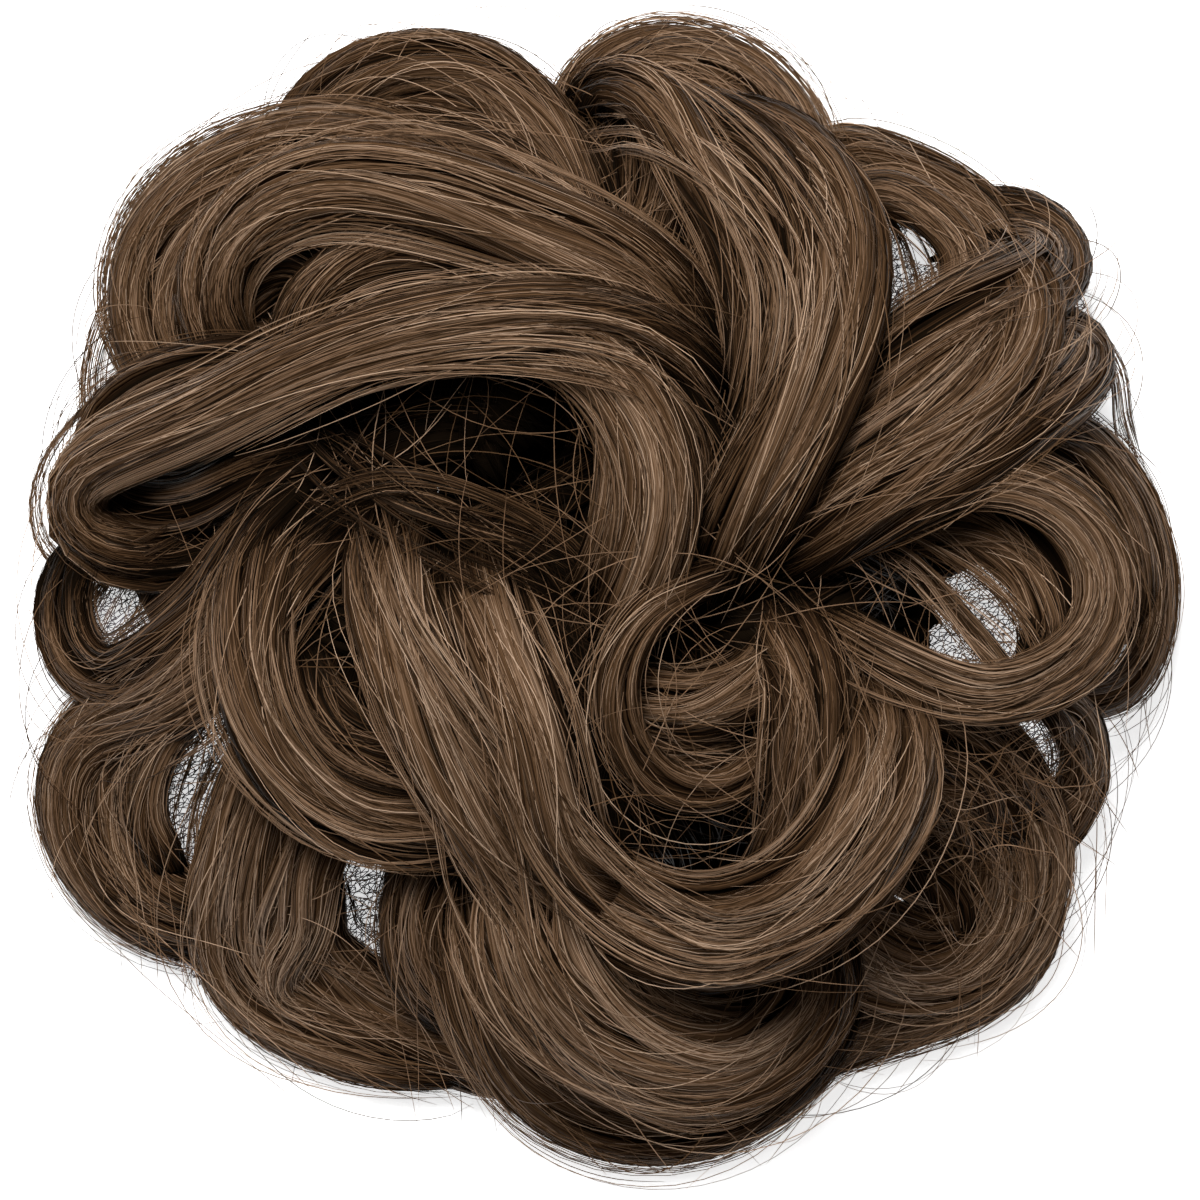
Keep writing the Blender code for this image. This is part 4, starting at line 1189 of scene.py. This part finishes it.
def spun_fibre():
    """Heat-resistant polyester fibre, melt spun and dyed in the mass: smooth and satin, not glossy."""
    hair = bpy.context.scene.hairpiece_hair
    material, tree, output = new_tree("spun_polyester_fibre")
    tone = add_node(tree, "ShaderNodeAttribute", attribute_name="strand_tone_and_shade").outputs["Fac"]
    place = add_node(tree, "ShaderNodeTexCoord").outputs["Object"]
    # The dye's shade drifts over about 14 mm.
    dye = add_node(tree, "ShaderNodeTexNoise", {"Vector": place, "Scale": 1 / (14 * MM), "Detail": 2.0})
    colour = fibre_colour(tree, shaded(tree, tone, dye.outputs["Fac"], 0.3))
    shader = add_node(tree, "ShaderNodeBsdfPrincipled", {
        "Base Color": colour, "Roughness": 0.4, "IOR": 1.55, "Specular IOR Level": 0.13,
        "Specular Tint": (*hair.tip_colour, 1)})
    tree.links.new(shader.outputs[0], output.inputs["Surface"])
    return material


def packed_fibre():
    """The same fibre packed close in a bundle: the eye sees fine lines along it, light beside dark."""
    material, tree, output = new_tree("packed_polyester_fibre")
    tone = add_node(tree, "ShaderNodeAttribute", attribute_name="strand_tone_and_shade").outputs["Fac"]
    grain = add_node(tree, "ShaderNodeUVMap", uv_map="grain").outputs["UV"]
    # The map is in millimetres. Strands are lines each 0.24 mm across; clumps of them each 0.8 mm.
    tone = add_node(tree, "ShaderNodeMath", {0: tone, 1: 0.33}, operation="ADD").outputs[0]
    for across, along, strength in ((1.3, 0.02, 0.6), (4.2, 0.014, 1.5)):
        stretched = add_node(tree, "ShaderNodeVectorMath", {0: grain, 1: (across, along, 1.0)},
                             operation="MULTIPLY")
        lines = add_node(tree, "ShaderNodeTexNoise", {
            "Vector": stretched.outputs[0], "Scale": 1.0, "Detail": 2.0, "Roughness": 0.6})
        tone = shaded(tree, tone, lines.outputs["Fac"], strength)
    colour = fibre_colour(tree, tone)
    bump = add_node(tree, "ShaderNodeBump", {
        "Height": lines.outputs["Fac"], "Strength": 0.4, "Distance": 0.12 * MM})
    shader = add_node(tree, "ShaderNodeBsdfPrincipled", {
        "Base Color": colour, "Roughness": 0.45, "IOR": 1.55, "Specular IOR Level": 0.0,
        "Normal": bump.outputs[0]})
    tree.links.new(shader.outputs[0], output.inputs["Surface"])
    return material


def net_thread():
    """Fine crimped nylon thread, dull and dark. The eye sees a grey veil, so it is drawn too thick."""
    material, tree, output = new_tree("nylon_net_thread")
    place = add_node(tree, "ShaderNodeTexCoord").outputs["Object"]
    fuzz = add_node(tree, "ShaderNodeTexNoise", {"Vector": place, "Scale": 1 / (2 * MM), "Detail": 1.0})
    colour = colour_ramp(tree, fuzz.outputs["Fac"], (
        (0.3, linear_rgb("#3b3439")), (0.7, linear_rgb("#6a5f66"))))
    shader = add_node(tree, "ShaderNodeBsdfPrincipled", {
        "Base Color": colour, "Roughness": 0.6, "IOR": 1.53})
    tree.links.new(shader.outputs[0], output.inputs["Surface"])
    return material


def braided_cover():
    """Black polyester yarn braided round the elastic: small slanting stitches, dull, drawn darker in
    their grooves as painted shade.
    """
    material, tree, output = new_tree("braided_elastic_cover")
    grain = add_node(tree, "ShaderNodeUVMap", uv_map="grain").outputs["UV"]
    # The map is in millimetres: the two sets of yarn cross each 1.1 mm.
    waves = []
    for turn in (0.7, -0.7):
        turned = add_node(tree, "ShaderNodeVectorRotate", {"Vector": grain, "Angle": turn},
                          rotation_type="Z_AXIS")
        waves.append(add_node(tree, "ShaderNodeTexWave", {
            "Vector": turned.outputs[0], "Scale": 0.29, "Distortion": 0.6}).outputs["Fac"])
    braid = add_node(tree, "ShaderNodeMath", {0: waves[0], 1: waves[1]}, operation="MAXIMUM").outputs[0]
    # Painted shade: the colour is darker in the grooves between the stitches.
    colour = colour_ramp(tree, braid, ((0.2, linear_rgb("#0b090a")), (0.9, linear_rgb("#2a2526"))))
    bump = add_node(tree, "ShaderNodeBump", {"Height": braid, "Strength": 0.9, "Distance": 0.3 * MM})
    shader = add_node(tree, "ShaderNodeBsdfPrincipled", {
        "Base Color": colour, "Roughness": 0.72, "IOR": 1.5, "Sheen Weight": 0.25,
        "Normal": bump.outputs[0]})
    tree.links.new(shader.outputs[0], output.inputs["Surface"])
    return material


def paper_floor():
    """A smooth white paper sweep: matt, with no grain that shows at this distance."""
    stage = bpy.context.scene.hairpiece_stage
    material, tree, output = new_tree("white_paper")
    shader = add_node(tree, "ShaderNodeBsdfPrincipled", {
        "Base Color": (*stage.floor_colour, 1), "Roughness": 0.9, "Specular IOR Level": 0.2,
        "Emission Color": (1, 1, 1, 1), "Emission Strength": stage.glow})
    tree.links.new(shader.outputs[0], output.inputs["Surface"])
    return material


def kept_material(maker):
    """The material that this maker makes, made once."""
    key = maker.__name__
    if key not in bpy.context.scene:
        bpy.context.scene[key] = maker().name
    return bpy.data.materials[bpy.context.scene[key]]


def dress(piece, node):
    """Puts a piece on the object's one body, in place of a node."""
    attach(piece, ROOT)
    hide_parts(node)


# The stage. The photograph is 1200 pixels square, and the outline's 165 mm take 1165 of them.

PIXEL = 165 * MM / 1165
PICTURE_SIDE = 1200 * PIXEL
OUTLINE_CENTRE_PIXEL = (605, 594)
PICTURE_CENTRE = ((600 - OUTLINE_CENTRE_PIXEL[0]) * PIXEL, (OUTLINE_CENTRE_PIXEL[1] - 600) * PIXEL)
CAMERA_HEIGHT = 2.0
FOCUS_HEIGHT = 0.02
SENSOR_WIDTH = 36.0
FLOOR_SIZE = 8.0
MAIN_LIGHT_PLACE = (-0.25, 0.65, 1.3)
MAIN_LIGHT_SIZE = 0.7
FILL_LIGHT_PLACE = (0.8, -0.7, 1.0)
FILL_LIGHT_SIZE = 0.8


def add_softbox(name, power, place, size):
    """A square area light that faces the hairpiece."""
    light = bpy.data.lights.new(name, "AREA")
    light.energy = power
    light.size = size
    softbox = bpy.data.objects.new(name, light)
    softbox.location = place
    softbox.rotation_euler = (-Vector(place)).to_track_quat("-Z", "Y").to_euler()
    bpy.context.scene.collection.objects.link(softbox)


# Settings.

class HairSettings(bpy.types.PropertyGroup):
    strand_width: FloatProperty(
        name="Strand width", description="How wide one strand is", default=0.12 * MM, unit="LENGTH",
        precision=5)
    strands_across: FloatProperty(
        name="Strands per millimetre", description="Strands for each millimetre of a lock's width",
        default=18.0)
    veil_strands: FloatProperty(
        name="Veil strands", description="Strands for each millimetre of a veil's width", default=8.0)
    wisp_share: FloatProperty(
        name="Wisps", description="Strands in wisps, as a share of a lock's own", default=0.2,
        subtype="FACTOR")
    loose_share: FloatProperty(
        name="Loose strands", description="Loose strands, as a share of a lock's own", default=0.1,
        subtype="FACTOR")
    tone_spread: FloatProperty(
        name="Tone spread", description="How much the strands of a lock differ in shade", default=0.2)
    hidden_share: FloatProperty(
        name="Hidden hair", description="Strands of the locks that lie low, as a share of the others'",
        default=0.2, subtype="FACTOR")
    seed: IntProperty(name="Seed", description="Where the random strands start", default=7)
    # The darkest stop stands for painted shade deep in the hair.
    deep_shade_colour: FloatVectorProperty(
        name="Deep strands", description="Shade of the strands deep in the hair", subtype="COLOR",
        default=linear_rgb("#0e0905"))
    dark_colour: FloatVectorProperty(
        name="Dark strands", description="Shade of the darkest strands", subtype="COLOR",
        default=linear_rgb("#24170d"))
    middle_colour: FloatVectorProperty(
        name="Middle strands", description="Shade of most strands", subtype="COLOR",
        default=linear_rgb("#493523"))
    light_colour: FloatVectorProperty(
        name="Light strands", description="Shade of the light strands", subtype="COLOR",
        default=linear_rgb("#6a5340"))
    tip_colour: FloatVectorProperty(
        name="Lightest strands", description="Shade of the few lightest strands", subtype="COLOR",
        default=linear_rgb("#98806b"))


class StageSettings(bpy.types.PropertyGroup):
    floor_colour: FloatVectorProperty(
        name="Floor", description="Colour of the floor", subtype="COLOR", default=linear_rgb("#f6f6f6"))
    glow: FloatProperty(
        name="Floor glow", description="Light that comes through the floor, as on a light table",
        default=0.7)
    softbox_power: FloatProperty(
        name="Softbox", description="Power of the main light", default=40.5, unit="POWER")
    fill_power: FloatProperty(
        name="Fill", description="Power of the fill light", default=3.0, unit="POWER")
    sky: FloatProperty(
        name="Surrounding light", description="Strength of the light all round", default=0.04)


# Operators. Each draws its random numbers from the seed setting and one of these.

VEIL_SEED = 50
RING_SEED = 100
STRAY_SEED = 200
NET_SEED = 300


class HAIRPIECE_OT_locks(bpy.types.Operator):
    """Grows each group of locks, bundle by bundle and strand by strand"""

    bl_idname = "hairpiece.locks"
    bl_label = "Locks"

    def execute(self, context):
        hair = context.scene.hairpiece_hair
        for order, (group, locks) in enumerate(LOCK_GROUPS.items()):
            rng = np.random.default_rng(hair.seed + order)
            strands, bundles = HairMesh(), HairMesh()
            hidden = group in HIDDEN_GROUPS
            density, stride = (hair.hidden_share, HIDDEN_STRIDE) if hidden else (1.0, BUNDLE_STRIDE)
            for lock in locks:
                grow_lock(lock, rng, hair, density, stride, strands, bundles)
            dress(strands.to_object(f"{group}_strands", kept_material(spun_fibre)), "hair")
            dress(bundles.to_object(f"{group}_bundles", kept_material(packed_fibre)), "hair")
        return {"FINISHED"}


class HAIRPIECE_OT_veils(bpy.types.Operator):
    """Lays the thin veils of strands at the rim and over the locks"""

    bl_idname = "hairpiece.veils"
    bl_label = "Veils"

    def execute(self, context):
        hair = context.scene.hairpiece_hair
        rng = np.random.default_rng(hair.seed + VEIL_SEED)
        veils = HairMesh()
        for lock in VEILS:
            shape = lock_frame(lock.route)
            count = round(lock.width * hair.veil_strands)
            grown = veil_strands(lock, shape, count, strand_points(shape), rng)
            add_strands(veils, grown, lock, hair, rng)
        dress(veils.to_object("veil_strands", kept_material(spun_fibre)), "hair")
        return {"FINISHED"}


class HAIRPIECE_OT_weft_ring(bpy.types.Operator):
    """Builds the weft ring, with hair laid round it and across its hollow"""

    bl_idname = "hairpiece.weft_ring"
    bl_label = "Weft ring"

    def execute(self, context):
        hair = context.scene.hairpiece_hair
        rng = np.random.default_rng(hair.seed + RING_SEED)
        section = ring_section(np.linspace(0, 2 * pi, RING_ANGLES))
        body = HairMesh()
        body.add(section[None, :, ::-1], [RING_PAINTED_SHADE], True)
        dress(body.to_object("weft_ring", kept_material(packed_fibre)), "hair")
        strands = HairMesh()
        top, underside = (0, RING_FOOT_ROW), (RING_FOOT_ROW, RING_FOOT_ROW + 1)
        for count, (first_row, last_row) in ((RING_STRANDS, top), (RING_STRANDS // 2, underside)):
            paths, facing = ring_strands(count, first_row, last_row, rng)
            paths[..., 2] = np.maximum(paths[..., 2], RING_GAP)
            width = hair.strand_width * rng.uniform(*RING_STRAND_WIDTHS, count)
            tone = rng.normal(RING_STRAND_TONE, RING_STRAND_TONES, count)
            roll = rng.uniform(-STRAND_ROLL, STRAND_ROLL, count)
            strands.add(flat_rings(paths, facing, width, roll), tone, False)
        dress(strands.to_object("weft_ring_strands", kept_material(spun_fibre)), "hair")
        crossing = HairMesh()
        for count, heights, tone in HOLLOW_STRANDS:
            strips = stray_strips(hollow_strands(count, heights, rng), rng)
            tones = rng.normal(tone, HOLLOW_STRAND_TONES, count)
            crossing.add(strips, tones, False)
        dress(crossing.to_object("hollow_strands", kept_material(spun_fibre)), "hair")
        return {"FINISHED"}


class HAIRPIECE_OT_strays(bpy.types.Operator):
    """Adds the stray strands round the rim, over the top and in the frizz at the lower right"""

    bl_idname = "hairpiece.strays"
    bl_label = "Strays"

    def execute(self, context):
        rng = np.random.default_rng(context.scene.hairpiece_hair.seed + STRAY_SEED)
        strays = HairMesh()
        growers = (
            (rim_strays, RIM_STRAYS, 0.5), (top_strays, TOP_STRAYS, 0.6),
            (leaving_strands, LEAVING_STRANDS, 0.62), (frizz_strands, FRIZZ_STRANDS, 0.5))
        for grower, count, tone in growers:
            paths = grower(count, rng)
            paths = paths[rim_distance(paths[..., :2]).max(axis=1) < STRAY_LEAVE]
            strays.add(stray_strips(paths, rng), rng.normal(tone, STRAY_TONES, len(paths)), False)
        dress(strays.to_object("stray_strands", kept_material(spun_fibre)), "hair")
        return {"FINISHED"}


class HAIRPIECE_OT_net(bpy.types.Operator):
    """Stretches the fine net across the gaps between the locks"""

    bl_idname = "hairpiece.net"
    bl_label = "Net"

    def execute(self, context):
        threads = net_threads(np.random.default_rng(context.scene.hairpiece_hair.seed + NET_SEED))
        net = HairMesh()
        count = len(threads)
        width = np.full(count, NET_THREAD / TIP_WIDTH)
        net.add(flat_rings(threads, UP, width, np.zeros(count)), np.zeros(count), False)
        dress(net.to_object("hair_net", kept_material(net_thread)), "hair")
        return {"FINISHED"}


class HAIRPIECE_OT_elastic(bpy.types.Operator):
    """Builds the covered elastic"""

    bl_idname = "hairpiece.elastic"
    bl_label = "Elastic"

    def execute(self, context):
        elastic = HairMesh()
        elastic.add(elastic_rings(), [0.0], True)
        cover = elastic.to_object("elastic_cover", kept_material(braided_cover))
        dress(cover, "elastic_band")
        return {"FINISHED"}


class HAIRPIECE_OT_stage(bpy.types.Operator):
    """Sets the floor, the lights and the camera straight above"""

    bl_idname = "hairpiece.stage"
    bl_label = "Stage"

    def execute(self, context):
        settings = context.scene.hairpiece_stage
        bpy.ops.mesh.primitive_plane_add(size=FLOOR_SIZE, location=(0, 0, -0.1 * MM))
        floor = context.active_object
        floor.name = "floor"
        floor.data.materials.append(paper_floor())
        add_softbox("main_softbox", settings.softbox_power, MAIN_LIGHT_PLACE, MAIN_LIGHT_SIZE)
        add_softbox("fill_softbox", settings.fill_power, FILL_LIGHT_PLACE, FILL_LIGHT_SIZE)
        world = bpy.data.worlds.new("studio")
        world.use_nodes = True
        background = world.node_tree.nodes["Background"]
        background.inputs["Color"].default_value = (1, 1, 1, 1)
        background.inputs["Strength"].default_value = settings.sky
        context.scene.world = world
        context.scene.view_settings.view_transform = "Standard"
        camera = bpy.data.objects.new("camera", bpy.data.cameras.new("camera"))
        context.scene.collection.objects.link(camera)
        camera.location = (*PICTURE_CENTRE, CAMERA_HEIGHT)
        camera.data.sensor_width = SENSOR_WIDTH
        camera.data.angle = 2 * atan(PICTURE_SIDE / 2 / (CAMERA_HEIGHT - FOCUS_HEIGHT))
        context.scene.camera = camera
        return {"FINISHED"}


class HAIRPIECE_PT_panel(bpy.types.Panel):
    """Lists the hairpiece's settings and steps"""

    bl_idname = "HAIRPIECE_PT_panel"
    bl_label = "Hairpiece"
    bl_space_type = "VIEW_3D"
    bl_region_type = "UI"
    bl_category = "Hairpiece"

    def draw(self, context):
        for group in (context.scene.hairpiece_hair, context.scene.hairpiece_stage):
            column = self.layout.column()
            for name in group.bl_rna.properties.keys():
                if name not in ("rna_type", "name"):
                    column.prop(group, name)
        for step in STEPS:
            self.layout.operator(step.bl_idname)


STEPS = (
    HAIRPIECE_OT_locks, HAIRPIECE_OT_veils, HAIRPIECE_OT_weft_ring, HAIRPIECE_OT_strays,
    HAIRPIECE_OT_net, HAIRPIECE_OT_elastic, HAIRPIECE_OT_stage)
CLASSES = (HairSettings, StageSettings) + STEPS + (HAIRPIECE_PT_panel,)


def register():
    for cls in CLASSES:
        bpy.utils.register_class(cls)
    bpy.types.Scene.hairpiece_hair = PointerProperty(type=HairSettings)
    bpy.types.Scene.hairpiece_stage = PointerProperty(type=StageSettings)


def unregister():
    del bpy.types.Scene.hairpiece_stage
    del bpy.types.Scene.hairpiece_hair
    for cls in reversed(CLASSES):
        bpy.utils.unregister_class(cls)


def main():
    register()
    bpy.ops.hairpiece.locks()
    bpy.ops.hairpiece.veils()
    bpy.ops.hairpiece.weft_ring()
    bpy.ops.hairpiece.strays()
    bpy.ops.hairpiece.net()
    bpy.ops.hairpiece.elastic()
    bpy.ops.hairpiece.stage()


if __name__ == "__main__":
    main()
